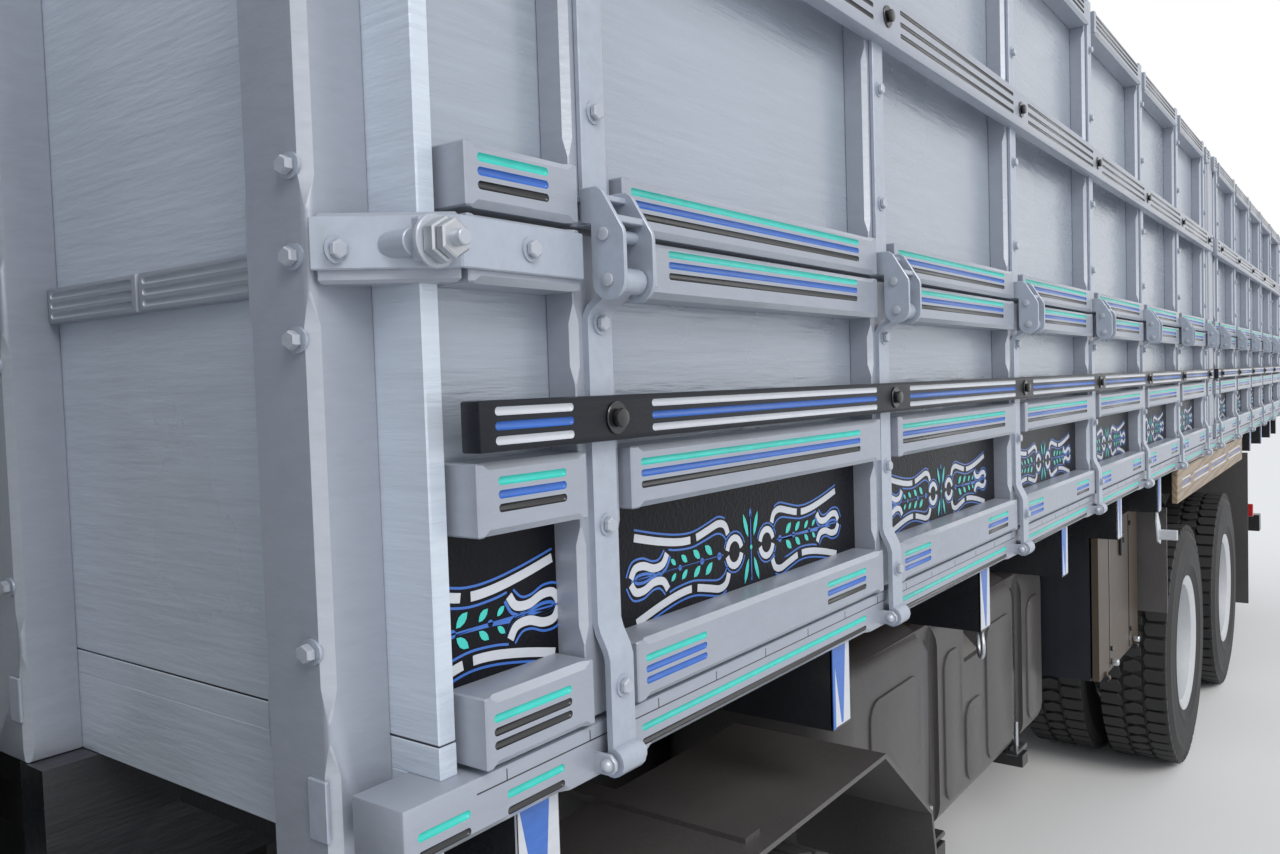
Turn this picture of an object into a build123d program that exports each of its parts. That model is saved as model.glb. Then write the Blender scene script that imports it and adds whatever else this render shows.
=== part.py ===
from build123d import *
import os

# Wooden stake-body grain truck, four axles, in millimetres.
# +X forward, +Y to the truck's left, +Z up, origin on the ground below the middle of the whole truck.
# "u" is a station: the distance behind the front face of the headboard, positive to the rear.

# Overall reach, ahead of and behind the headboard
FRONT_REACH = 2750
BODY_LENGTH = 8650
HALF_WALL = 1225           # inner face of a side gate, from the centre line
MOVE_GAP = 6               # clearance round a piece that swings
SEAM = 0.3                 # gap between pieces that lie against each other

# Depths from the inner face of a gate, outwards
PLY_D = 15
STILE_D = 51
STRAP_D = 58
RAIL_D = 65
GUARD_D = 75
PIN_D = 70
LINK_D = 91

# Heights of the cargo body
BEAM_LOW = 1110
BEAM_TOP = 1310
CROSS_LOW = 1215
DECK_LOW = 1352
DECK_T = 28
RIM_TOP = 1406
GATE_LOW = RIM_TOP + MOVE_GAP
LOWER_TOP = 1894
UPPER_LOW = LOWER_TOP + MOVE_GAP
UPPER_TOP = 2713
STRAP_TIP = 2730
PIN_Z = 1368
LINK_Z = 1845

# Gate ironwork
STRAP_W = 38
STILE_W = 64
EDGE_STILE_W = 32
RAIL_GAP = 36              # from a strap's middle to the end of a rail
PIN_R = 8
PIN_PLAY = 0.4
EYE_R = 14
LUG_T = 6
LUG_R = 12
LUG_GAP = 2
LINK_PIN_R = 6
LINK_EYE_R = 11
LINK_PLATE_R = 20
LINK_PLATE_T = 5
LINK_TOP = 1937
POST_PITCH = 712.4
FIRST_POST = 190
FRONT_POSTS = 7
REAR_GAP = 438.8           # between the last strap of the front gate and the first of the rear one
REAR_POSTS = 6
GATE_END = 145             # from a gate's last strap to its end
STAKE_W = 110

# Rails of a gate: low edge, high edge
LOWER_RAILS = [(GATE_LOW, 1476), (1615, 1680), (1835, LOWER_TOP)]
UPPER_RAILS = [(UPPER_LOW, 1956), (2655, UPPER_TOP)]
GUARD_RAIL = (1689, 1734)
MID_RAIL = (2260, 2335)

# Cargo body timbers
RIM_IN = 1237
RIM_OUT = HALF_WALL + PIN_D - EYE_R - LUG_GAP
RIM_FRONT = 80             # ahead of the headboard
STAKE_IN = 1190
CROSS_HALF = 1250
CROSS_W = 60
CROSS_STATIONS = [110, 790, 1480, 2130, 2810, 3510, 4150, 4680, 5320, 6000, 6690, 7380, 8060, 8550]
BEAM_IN = 580
BEAM_OUT = 640
BEAM_FRONT = 86
SKIRT_FRONT = 3770
SKIRT_REAR = 6000
SKIRT_T = 22
HEAD_T = 20
HEAD_HALF = 1258
HEAD_LOW = BEAM_TOP + SEAM
HEAD_TOP = 2740
HEAD_POSTS = [(1150, CROSS_LOW), (553, BEAM_TOP)]     # centre from the centre line, foot
HEAD_POST_W = 90
HEAD_POST_D = 65
HEAD_POST_CHAMFER = 19
TAIL_HALF = 1268

# Chassis
FRAME_IN = 350
FRAME_OUT = 430
FRAME_LOW = 770
FRAME_TOP = 1040
FRAME_WEB = 10
FRAME_FRONT = -2560
FRAME_REAR = 8400
AXLE_Z = 522
STEER_AXLES = [-1300, 600]
DRIVE_AXLES = [4400, 5749]
TYRE_R = AXLE_Z
TYRE_W = 280
RIM_R = 286
STEER_WHEEL_Y = 1075
TWIN_PITCH = 330
TWIN_OUT_Y = 1080
KINGPIN_Y = 905
KINGPIN_R = 25
SPINDLE_R = 40
SHAFT_PLAY = 0.4
HUB_R = 115

# Fuel tanks and locker
TANK_FRONT = 1400
TANK_REAR = 3100
TANK_OUT = 950
TANK_IN = 455
TANK_LOW = 500
TANK_TOP = 1100
TANK_STRAPS = [1960, 2740]
LOCKER_FRONT = 3110
LOCKER_REAR = 3800
LOCKER_OUT = 1120
LOCKER_IN = 650
LOCKER_LOW = 660
LOCKER_TOP = 1200
LOCKER_WALL = 20
LOCKER_DOOR_T = 22

# Cab
CAB_FRONT = -2700
CAB_REAR = -460
CAB_HALF = 1220
CAB_LOW = 1130
CAB_TOP = 3000
CAB_WALL = 50
FLOOR_TOP = CAB_LOW + CAB_WALL
ROOF_LOW = 2860
A_POST = -2430             # rear edge of the front panel
B_POST = -1440             # rear edge of the door opening
DOOR_LOW = 1190
DOOR_TOP = 2850
SILL_Z = 1930              # lower edge of the windows
LINTEL_Z = 2720            # upper edge of the windows
CAB_PIVOT_U = -2520
CAB_PIVOT_Z = 1085
PIVOT_Y = 390
PIVOT_R = 15
PIVOT_LUG = 40
PIVOT_LUG_R = 25
DOOR_PIN_R = 6
DOOR_PLAY = 0.8
DOOR_EYE_R = 13
DOOR_EYE_H = 50
DOOR_HINGES = [1350, 1800]
DOOR_PIN_U = A_POST + MOVE_GAP / 2
DOOR_PIN_Y = CAB_HALF + DOOR_EYE_R + 5
# Outline of a door lug about its pin: rearwards, outwards. It narrows to clear the opening door
DOOR_LUG = [(-60, CAB_HALF - DOOR_PIN_Y), (-3, CAB_HALF - DOOR_PIN_Y), (9, -8), (9, 8), (-60, 8)]

TAIL_IN = BODY_LENGTH
REAR_REACH = TAIL_IN + LINK_D + LINK_PLATE_R
TOTAL_LENGTH = FRONT_REACH + REAR_REACH
HEAD_X = TOTAL_LENGTH / 2 - FRONT_REACH

os.makedirs("parts", exist_ok=True)


def at(u):
    """X of station u."""
    return HEAD_X - u


def left_wall(depth):
    """Sketch plane of the left side: local x is the station, local y is the height."""
    return Plane(origin=(HEAD_X, HALF_WALL + depth, 0), x_dir=(-1, 0, 0), z_dir=(0, 1, 0))


def tail_wall(depth):
    """Sketch plane of the tail: local x is towards the right, local y is the height."""
    return Plane(origin=(at(TAIL_IN + depth), 0, 0), x_dir=(0, -1, 0), z_dir=(-1, 0, 0))


def across(u):
    """Sketch plane square to the truck: local x is Y, local y is Z, facing forward."""
    return Plane(origin=(at(u), 0, 0), x_dir=(0, 1, 0), z_dir=(1, 0, 0))


def lengthwise(y):
    """Sketch plane along the truck: local x is the station, local y is the height, facing left."""
    return Plane(origin=(HEAD_X, y, 0), x_dir=(-1, 0, 0), z_dir=(0, 1, 0))


def rect(x0, x1, y0, y1):
    """Rectangle between two corners, in the open sketch."""
    with Locations(((x0 + x1) / 2, (y0 + y1) / 2)):
        Rectangle(abs(x1 - x0), abs(y1 - y0))


def block(u0, u1, y0, y1, z0, z1, mode=Mode.ADD):
    """Straight timber or plate between two stations, in the open part."""
    with Locations((at((u0 + u1) / 2), (y0 + y1) / 2, (z0 + z1) / 2)):
        Box(abs(u1 - u0), abs(y1 - y0), abs(z1 - z0), mode=mode)


def save(part, name):
    """Label one finished piece and write it."""
    part.label = name
    export_step(part, f"parts/{name}.step")


def save_pair(part, name):
    """Write a left piece and its mirror image on the right."""
    save(part, f"{name}_left")
    save(mirror(part, about=Plane.XZ), f"{name}_right")


# Stations of the gate posts
front_posts = [FIRST_POST + POST_PITCH * i for i in range(FRONT_POSTS)]
rear_posts = [front_posts[-1] + REAR_GAP + POST_PITCH * i for i in range(REAR_POSTS)]
front_end = front_posts[-1] + GATE_END
rear_start = rear_posts[0] - GATE_END
stake_mid = (front_end + rear_start) / 2
rear_end = TAIL_IN - STAKE_W - MOVE_GAP * 2
tail_posts = [POST_PITCH * (i - 1.5) for i in range(4)]


def bays(posts, start, end):
    """Stretches between the straps, with the two end stretches."""
    edges = [start] + [edge for p in posts for edge in (p - RAIL_GAP, p + RAIL_GAP)] + [end]
    return list(zip(edges[::2], edges[1::2]))


def foot_plane(wall, post):
    """Plane square to a wall at one strap: local x is the depth outwards, local y is the height."""
    base = wall(0)
    return Plane(origin=base.from_local_coords((post, 0, 0)), x_dir=base.z_dir, z_dir=-base.x_dir)


def hinge_foot(wall, post):
    """Foot of a strap: it steps outwards and curls round the hinge pin."""
    with BuildPart() as made:
        with BuildSketch(foot_plane(wall, post)):
            with BuildLine():
                Polyline(
                    (STILE_D, GATE_LOW + 30), (STRAP_D, GATE_LOW + 30), (PIN_D - 2, GATE_LOW + 8), (PIN_D + 2, PIN_Z),
                    (PIN_D - 8, PIN_Z), (PIN_D - 10, GATE_LOW), (STILE_D, GATE_LOW), close=True,
                )
            make_face()
            with Locations((PIN_D, PIN_Z)):
                Circle(EYE_R)
                Circle(PIN_R + PIN_PLAY, mode=Mode.SUBTRACT)
        extrude(amount=STRAP_W / 2, both=True)
    return made.part


def link_eye(wall, post):
    """Top of a lower strap: it curls outwards round the pin that carries the upper gate."""
    with BuildPart() as made:
        with BuildSketch(foot_plane(wall, post)):
            with BuildLine():
                Polyline(
                    (STILE_D, LINK_Z - 40), (STRAP_D, LINK_Z - 40), (LINK_D, LINK_Z - LINK_EYE_R + 1),
                    (LINK_D - LINK_EYE_R + 1, LINK_Z), (STILE_D, LINK_Z - 26), close=True,
                )
            make_face()
            with Locations((LINK_D, LINK_Z)):
                Circle(LINK_EYE_R)
                Circle(LINK_PIN_R + PIN_PLAY, mode=Mode.SUBTRACT)
        extrude(amount=STRAP_W / 2, both=True)
    return made.part


def link_plates(wall, post):
    """Two plates on an upper strap, joined by two shelves and by the pin at their rounded lower end."""
    plate_in = STRAP_W / 2 + LUG_GAP
    with BuildPart() as made:
        for edge in (plate_in, -plate_in - LINK_PLATE_T):
            with BuildSketch(foot_plane(wall, post).offset(edge)):
                with BuildLine():
                    Polyline(
                        (STRAP_D + 2, LINK_TOP), (LINK_D - 10, LINK_TOP), (LINK_D + LINK_PLATE_R, UPPER_LOW - 12),
                        (LINK_D + LINK_PLATE_R, LINK_Z), (LINK_D - LINK_PLATE_R, LINK_Z),
                        (LINK_D - LINK_PLATE_R, UPPER_LOW + 4), (STRAP_D + 2, UPPER_LOW + 4), close=True,
                    )
                make_face()
                with Locations((LINK_D, LINK_Z)):
                    Circle(LINK_PLATE_R)
            extrude(amount=LINK_PLATE_T)
        with BuildSketch(foot_plane(wall, post)):
            rect(STILE_D, LINK_D + 6, UPPER_LOW, UPPER_LOW + 8)
            rect(STILE_D, LINK_D - 12, LINK_TOP - 14, LINK_TOP - 6)
            with Locations((LINK_D, LINK_Z)):
                Circle(LINK_PIN_R)
        extrude(amount=plate_in + LINK_PLATE_T, both=True)
    return made.part


def gate(wall, posts, start, end, edge_stiles, low, high, rails, over_rail, tip):
    """Gate of boarded bays: plywood, stiles, rails between the straps, straps and one rail over them."""
    with BuildPart() as made:
        with BuildSketch(wall(0)):
            rect(start, end, low, high)
        extrude(amount=PLY_D)
        with BuildSketch(wall(PLY_D)):
            for p in posts:
                rect(p - STILE_W / 2, p + STILE_W / 2, low, high)
            for inner, edge in edge_stiles:
                rect(inner, edge, low, high)
        extrude(amount=STILE_D - PLY_D)
        with BuildSketch(wall(PLY_D)):
            for z0, z1 in rails:
                for a, b in bays(posts, start, end):
                    rect(a, b, z0, z1)
        extrude(amount=RAIL_D - PLY_D)
        with BuildSketch(wall(STILE_D)):
            for p in posts:
                rect(p - STRAP_W / 2, p + STRAP_W / 2, low, tip)
        extrude(amount=STRAP_D - STILE_D)
        with BuildSketch(wall(PLY_D)):
            for a, b in bays(posts, start, end):
                rect(a, b, *over_rail)
        extrude(amount=STRAP_D - PLY_D)
        with BuildSketch(wall(STRAP_D)):
            rect(start, end, *over_rail)
        extrude(amount=GUARD_D - STRAP_D)
    return made.part


def lower_gate(wall, posts, start, end, edge_stiles):
    """Lower gate with its hinge feet, and the curled strap ends that carry the upper gate."""
    frame = gate(wall, posts, start, end, edge_stiles, GATE_LOW, LOWER_TOP, LOWER_RAILS, GUARD_RAIL, LINK_Z - 26)
    irons = [form(wall, p) for p in posts for form in (hinge_foot, link_eye)]
    with BuildPart() as made:
        add(frame)
        add(irons)
    return made.part


def upper_gate(wall, posts, start, end, edge_stiles):
    """Upper gate: at each strap a pair of link plates reaches down to a pin in the lower gate's eye."""
    frame = gate(wall, posts, start, end, edge_stiles, UPPER_LOW, UPPER_TOP, UPPER_RAILS, MID_RAIL, STRAP_TIP)
    irons = [link_plates(wall, p) for p in posts]
    with BuildPart() as made:
        add(frame)
        add(irons)
    return made.part


# Side gates and tail gates
for name, posts, start, end, stiles in (
    ("front", front_posts, MOVE_GAP, front_end, [(front_end - EDGE_STILE_W, front_end)]),
    ("rear", rear_posts, rear_start, rear_end,
     [(rear_start + EDGE_STILE_W, rear_start), (rear_end - EDGE_STILE_W, rear_end)]),
):
    save_pair(lower_gate(left_wall, posts, start, end, stiles), f"lower_gate_{name}")
    save_pair(upper_gate(left_wall, posts, start, end, stiles), f"upper_gate_{name}")
tail_stiles = [(s * (TAIL_HALF - EDGE_STILE_W), s * TAIL_HALF) for s in (1, -1)]
save(lower_gate(tail_wall, tail_posts, -TAIL_HALF, TAIL_HALF, tail_stiles), "tail_gate_lower")
save(upper_gate(tail_wall, tail_posts, -TAIL_HALF, TAIL_HALF, tail_stiles), "tail_gate_upper")


def hinge_pin(wall, post):
    """Hinge pin of a gate, held by two lugs on the rim timber."""
    with BuildPart() as made:
        for edge in (STRAP_W / 2 + LUG_GAP, -STRAP_W / 2 - LUG_GAP - LUG_T):
            with BuildSketch(foot_plane(wall, post).offset(edge)):
                with BuildLine():
                    Polyline(
                        (RIM_OUT - HALF_WALL, PIN_Z - LUG_R), (PIN_D + LUG_R / 2, PIN_Z - LUG_R),
                        (PIN_D + LUG_R, PIN_Z - LUG_R / 2), (PIN_D + LUG_R, PIN_Z + LUG_R / 2),
                        (PIN_D + LUG_R / 2, PIN_Z + LUG_R), (RIM_OUT - HALF_WALL, PIN_Z + LUG_R), close=True,
                    )
                make_face()
            extrude(amount=LUG_T)
        with BuildSketch(foot_plane(wall, post)):
            with Locations((PIN_D, PIN_Z)):
                Circle(PIN_R)
        extrude(amount=STRAP_W / 2 + LUG_GAP + LUG_T + 4, both=True)
    return made.part


# Rim timbers: two long ones and the rear sill, with the pins of all lower gates
side_pins = [hinge_pin(left_wall, p) for p in front_posts + rear_posts]
sill_pins = [hinge_pin(tail_wall, p) for p in tail_posts]
with BuildPart() as left_rim:
    block(-RIM_FRONT, BODY_LENGTH, RIM_IN, RIM_OUT, DECK_LOW, RIM_TOP)
    add(side_pins)
with BuildPart() as rear_sill:
    sill_out = TAIL_IN + RIM_OUT - HALF_WALL
    block(TAIL_IN - STAKE_W, sill_out, -RIM_IN + SEAM, RIM_IN - SEAM, DECK_LOW, RIM_TOP)
    add(sill_pins)
with BuildPart() as rim_timbers:
    add(left_rim.part)
    add(mirror(left_rim.part, about=Plane.XZ, mode=Mode.PRIVATE))
    add(rear_sill.part)
save(rim_timbers.part, "rim_timbers")

with BuildPart() as deck_boards:
    block(0, TAIL_IN - STAKE_W - SEAM, -RIM_IN + SEAM, RIM_IN - SEAM, DECK_LOW, DECK_LOW + DECK_T)
save(deck_boards.part, "deck_boards")

with BuildPart() as cross_timbers:
    for u in CROSS_STATIONS:
        with BuildSketch(across(u)):
            rect(-CROSS_HALF, CROSS_HALF, CROSS_LOW, DECK_LOW)
            for s in (1, -1):
                with Locations((s * (BEAM_IN + BEAM_OUT) / 2, (CROSS_LOW + BEAM_TOP) / 2)):
                    Rectangle(BEAM_OUT - BEAM_IN, BEAM_TOP - CROSS_LOW, mode=Mode.SUBTRACT)
        extrude(amount=CROSS_W / 2, both=True)
save(cross_timbers.part, "cross_timbers")

with BuildPart() as long_timbers:
    for s in (1, -1):
        block(-BEAM_FRONT, BODY_LENGTH, s * BEAM_IN, s * BEAM_OUT, BEAM_LOW, BEAM_TOP)
save(long_timbers.part, "long_timbers")

with BuildPart() as skirt_boards:
    for s in (1, -1):
        block(SKIRT_FRONT, SKIRT_REAR, s * CROSS_HALF, s * (CROSS_HALF + SKIRT_T), CROSS_LOW, DECK_LOW - MOVE_GAP)
save(skirt_boards.part, "skirt_boards")

# Headboard with its posts
with BuildPart() as headboard:
    with BuildSketch(across(0)):
        rect(-HEAD_HALF, HEAD_HALF, RIM_TOP, HEAD_TOP)
        rect(-RIM_IN + SEAM, RIM_IN - SEAM, HEAD_LOW, RIM_TOP)
    extrude(amount=HEAD_T)
save(headboard.part, "headboard")

with BuildPart() as head_posts:
    for y, foot in HEAD_POSTS:
        for s in (1, -1):
            block(-HEAD_T - HEAD_POST_D, -HEAD_T, s * y - HEAD_POST_W / 2, s * y + HEAD_POST_W / 2, foot, HEAD_TOP - 10)
save(head_posts.part, "head_posts")

with BuildPart() as stake_posts:
    for u0, u1 in ((stake_mid - STAKE_W / 2, stake_mid + STAKE_W / 2), (rear_end + MOVE_GAP, TAIL_IN - MOVE_GAP)):
        for s in (1, -1):
            block(u0, u1, s * STAKE_IN, s * RIM_OUT, RIM_TOP, UPPER_TOP + 10)
save(stake_posts.part, "stake_posts")

# Ladder frame: two channel rails with the pivots of the cab, cross members, and brackets under the long timbers
CROSS_MEMBERS = [-2500, -420, 150, 1050, 1950, 2850, 3750, 5075, 6300, 7300, 8340]
BRACKETS = [250, 1250, 3250, 3700, 6600, 7500, 8200]
WEB_FACE = FRAME_OUT - FRAME_WEB - SEAM
with BuildPart() as chassis_frame:
    for s in (1, -1):
        with BuildSketch(across(FRAME_REAR)):
            rect(s * FRAME_IN, s * FRAME_OUT, FRAME_LOW, FRAME_TOP)
            with Locations((s * (FRAME_IN + FRAME_OUT - 2 * FRAME_WEB) / 2, (FRAME_LOW + FRAME_TOP) / 2)):
                Rectangle(FRAME_OUT - FRAME_IN, FRAME_TOP - FRAME_LOW - 2 * FRAME_WEB, mode=Mode.SUBTRACT)
        extrude(amount=FRAME_REAR - FRAME_FRONT)
    for s in (1, -1):
        block(CAB_REAR - 160, CAB_REAR - 60, s * FRAME_IN, s * FRAME_OUT, FRAME_TOP, CAB_LOW - SEAM)
        for side in (1, -1):
            lug_y = s * PIVOT_Y + side * (PIVOT_LUG / 2 + LUG_GAP + PIVOT_LUG / 4)
            block(CAB_PIVOT_U - PIVOT_LUG_R, CAB_PIVOT_U + PIVOT_LUG_R, lug_y - PIVOT_LUG / 4, lug_y + PIVOT_LUG / 4,
                  FRAME_TOP, CAB_PIVOT_Z)
            with Locations((at(CAB_PIVOT_U), lug_y, CAB_PIVOT_Z)):
                Cylinder(PIVOT_LUG_R, PIVOT_LUG / 2, rotation=(90, 0, 0))
        with Locations((at(CAB_PIVOT_U), s * PIVOT_Y, CAB_PIVOT_Z)):
            Cylinder(PIVOT_R, 2 * PIVOT_LUG + 2 * LUG_GAP, rotation=(90, 0, 0))
save(chassis_frame.part, "chassis_frame")

with BuildPart() as cross_members:
    for u in CROSS_MEMBERS:
        block(u - 40, u + 40, -WEB_FACE, WEB_FACE, FRAME_LOW + 60, FRAME_TOP - FRAME_WEB - SEAM)
    for s in (1, -1):
        block(8060, 8140, s * (FRAME_OUT + SEAM), s * (FRAME_OUT + 60), 640, FRAME_TOP - 60)
    block(8050, 8150, -1180, 1180, 520, 640)
save(cross_members.part, "cross_members")

with BuildPart() as body_brackets:
    for u in BRACKETS:
        for s in (1, -1):
            block(u - 50, u + 50, s * (FRAME_OUT + SEAM), s * BEAM_OUT, FRAME_TOP - 40, BEAM_LOW - SEAM)
save(body_brackets.part, "body_brackets")

# Axles
HOUSING_R = 205
HOUSING_HALF = 90
NOSE_R = 80
SHAFT_R = 45
SHAFT_Z = 660
with BuildPart() as axles:
    for u in STEER_AXLES:
        block(u - 55, u + 55, -KINGPIN_Y, KINGPIN_Y, AXLE_Z - 60, AXLE_Z + 40)
        for s in (1, -1):
            with Locations((at(u), s * KINGPIN_Y, AXLE_Z)):
                Cylinder(48, 130)
                Cylinder(KINGPIN_R + SHAFT_PLAY, 200, mode=Mode.SUBTRACT)
    for u in DRIVE_AXLES:
        with Locations((at(u), 0, AXLE_Z)):
            Cylinder(75, 2 * (TWIN_OUT_Y - 520), rotation=(90, 0, 0))
            Cylinder(SPINDLE_R, 2 * TWIN_OUT_Y, rotation=(90, 0, 0))
            Cylinder(HOUSING_R, 2 * HOUSING_HALF, rotation=(0, 90, 0))
        with Locations((at(u - HOUSING_HALF), 0, SHAFT_Z)):
            Cylinder(NOSE_R, 110, rotation=(0, 90, 0))
save(axles.part, "axles")

# Leaf springs: a flat bow between two hangers. Columns: station, half length, y, seat height, hanger y in, hanger top
SPRINGS = [(u, 840, 415, AXLE_Z + 40, 380, FRAME_LOW - SEAM) for u in STEER_AXLES]
SPRINGS += [(u, 560, 480, AXLE_Z + 75, FRAME_OUT + SEAM, 900) for u in DRIVE_AXLES]
with BuildPart() as leaf_springs:
    for u, half, y, seat, hanger_in, hanger_top in SPRINGS:
        for s in (1, -1):
            with BuildSketch(lengthwise(s * y)):
                with BuildLine():
                    Polyline(
                        (u - half, seat + 150), (u - 150, seat + SEAM), (u + 150, seat + SEAM), (u + half, seat + 150),
                        (u + half, seat + 190), (u + 200, seat + 90), (u - 200, seat + 90), (u - half, seat + 190),
                        close=True,
                    )
                make_face()
            extrude(amount=35, both=True)
            for end in (u - half, u + half):
                block(end - 30, end + 30, s * hanger_in, s * (y + 35), seat + 160, hanger_top)
save(leaf_springs.part, "leaf_springs")

# Engine block, gearbox and propeller shaft
with BuildPart() as engine:
    block(-2380, -1150, -300, 300, 700, 1100)
    block(-1150, -500, -190, 190, 620, 990)
    block(-1950, -1850, -WEB_FACE, WEB_FACE, 850, 930)
    with BuildSketch(across(-500)):
        with Locations((0, SHAFT_Z)):
            Circle(SHAFT_R)
    extrude(amount=-(DRIVE_AXLES[0] - HOUSING_HALF - 55 - SEAM + 500))
save(engine.part, "engine")

# Fuel tanks, one each side, on straps and brackets from the frame
with BuildPart() as fuel_tanks:
    for s in (1, -1):
        block(TANK_FRONT, TANK_REAR, s * TANK_IN, s * TANK_OUT, TANK_LOW, TANK_TOP)
    fillet(fuel_tanks.edges().filter_by(Axis.Z), 90)
save(fuel_tanks.part, "fuel_tanks")
with BuildPart() as tank_straps:
    for u in TANK_STRAPS:
        for s in (1, -1):
            block(u - 30, u + 30, s * FRAME_OUT, s * (TANK_OUT + 20), TANK_LOW - 40, TANK_LOW - SEAM)
            block(u - 30, u + 30, s * FRAME_OUT, s * (TANK_IN - SEAM), TANK_LOW - 40, FRAME_TOP - 60)
save(tank_straps.part, "tank_straps")

# Locker with its flap, which turns down on two hinges below its lower edge
LOCKER_HINGES = [LOCKER_FRONT + 90, LOCKER_REAR - 90]
FLAP_PIN_Y = LOCKER_OUT + 8
FLAP_PIN_Z = LOCKER_LOW - 6
FLAP_PIN_R = 5
FLAP_EYE_R = 10
with BuildPart() as locker:
    block(LOCKER_FRONT, LOCKER_REAR, LOCKER_IN, LOCKER_OUT - LOCKER_DOOR_T - MOVE_GAP, LOCKER_LOW, LOCKER_TOP)
    block(LOCKER_FRONT + LOCKER_WALL, LOCKER_REAR - LOCKER_WALL, LOCKER_IN + LOCKER_WALL, LOCKER_OUT,
          LOCKER_LOW + LOCKER_WALL, LOCKER_TOP - LOCKER_WALL, mode=Mode.SUBTRACT)
    for u in (LOCKER_FRONT + 140, LOCKER_REAR - 140):
        block(u - 40, u + 40, FRAME_OUT, LOCKER_IN, 880, 960)
    for u in LOCKER_HINGES:
        for edge in (FLAP_EYE_R + LUG_GAP, -FLAP_EYE_R - LUG_GAP - LUG_T):
            block(u + edge, u + edge + LUG_T, LOCKER_OUT - 70, FLAP_PIN_Y + 6, FLAP_PIN_Z - 8, LOCKER_LOW)
        with Locations((at(u), FLAP_PIN_Y, FLAP_PIN_Z)):
            Cylinder(FLAP_PIN_R, 2 * (FLAP_EYE_R + LUG_GAP + LUG_T), rotation=(0, 90, 0))
save(locker.part, "locker")
with BuildPart() as locker_flap:
    block(LOCKER_FRONT + 4, LOCKER_REAR - 4, LOCKER_OUT - LOCKER_DOOR_T, LOCKER_OUT, LOCKER_LOW, LOCKER_TOP - 4)
    for u in LOCKER_HINGES:
        block(u - FLAP_EYE_R, u + FLAP_EYE_R, LOCKER_OUT - 4, FLAP_PIN_Y, FLAP_PIN_Z, LOCKER_LOW + 14)
        with Locations((at(u), FLAP_PIN_Y, FLAP_PIN_Z)):
            Cylinder(FLAP_EYE_R, 2 * FLAP_EYE_R, rotation=(0, 90, 0))
            Cylinder(FLAP_PIN_R + PIN_PLAY, 2 * FLAP_EYE_R, rotation=(0, 90, 0), mode=Mode.SUBTRACT)
save(locker_flap.part, "locker_flap")

# Mudguards over the steered wheels and flaps at the tandem
GUARD_POINTS = [(680, 60), (610, 400), (400, 575), (-400, 575), (-610, 400), (-680, 60)]
FLAPS = [(3850, 765), (6850, 220)]          # station, lower edge
with BuildPart() as mudguards:
    for u in STEER_AXLES:
        for s in (1, -1):
            with BuildSketch(lengthwise(s * 1080)):
                with BuildLine():
                    Polyline([(u + a, AXLE_Z + b) for a, b in GUARD_POINTS])
                trace(line_width=8)
            extrude(amount=150, both=True)
            block(u - 20, u + 20, s * FRAME_OUT, s * 1200, AXLE_Z + 576, AXLE_Z + 587)
            block(u - 20, u + 20, s * FRAME_OUT, s * (FRAME_OUT + 20), FRAME_TOP - 80, AXLE_Z + 587)
    for u, low in FLAPS:
        for s in (1, -1):
            block(u - 5, u + 5, s * (BEAM_OUT + 10), s * 1220, low, FRAME_TOP + 150)
            block(u + 5, u + 35, s * FRAME_OUT, s * 1210, FRAME_TOP - 40, FRAME_TOP - 10)
save(mudguards.part, "mudguards")

# Bumper with steps
with BuildPart() as bumper:
    block(-FRONT_REACH, -FRONT_REACH + 130, -CAB_HALF, CAB_HALF, 450, 860)
    for s in (1, -1):
        block(-FRONT_REACH + 130, -2060, s * 900, s * CAB_HALF, 450, 980)
        block(-FRONT_REACH + 130, FRAME_FRONT + 200, s * FRAME_OUT, s * (FRAME_OUT + 40), 780, 860)
save(bumper.part, "bumper")
with BuildPart() as lamps:
    for s in (1, -1):
        block(-FRONT_REACH + 20, -FRONT_REACH + 120, s * 760, s * 1120, 860 + SEAM, 960)
        block(8150 + SEAM, 8190, s * 860, s * 1160, 530, 630)
save(lamps.part, "lamps")


# Steering knuckles, wheels
def wheel_disc(y_in, y_out, disc_y):
    """Half section of one steel rim: barrel with a disc, turned about the Y axis."""
    return [
        (HUB_R - 30, disc_y - 10), (230, disc_y - 10), (255, y_in + 20), (RIM_R - SEAM, y_in), (RIM_R - SEAM, y_out),
        (268, y_out), (262, disc_y + 12), (230, disc_y + 14), (HUB_R - 30, disc_y + 14),
    ]


def turned(u, points):
    """Solid turned about the axle at station u from (radius, y) points."""
    plane = Plane(origin=(at(u), 0, AXLE_Z), x_dir=(1, 0, 0), z_dir=(0, 0, 1))
    with BuildPart() as made:
        with BuildSketch(plane):
            with BuildLine():
                Polyline(points, close=True)
            make_face()
        revolve(axis=Axis((at(u), 0, AXLE_Z), (0, 1, 0)))
    return made.part


def tyre_points(mid):
    """Half section of a tyre: bead, bulged wall, shoulder and tread."""
    h = TYRE_W / 2
    return [
        (RIM_R, mid - h + 30), (RIM_R + 110, mid - h), (TYRE_R - 50, mid - h + 8), (TYRE_R, mid - h + 22),
        (TYRE_R, mid + h - 22), (TYRE_R - 50, mid + h - 8), (RIM_R + 110, mid + h), (RIM_R, mid + h - 30),
        (RIM_R, mid),
    ]


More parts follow.
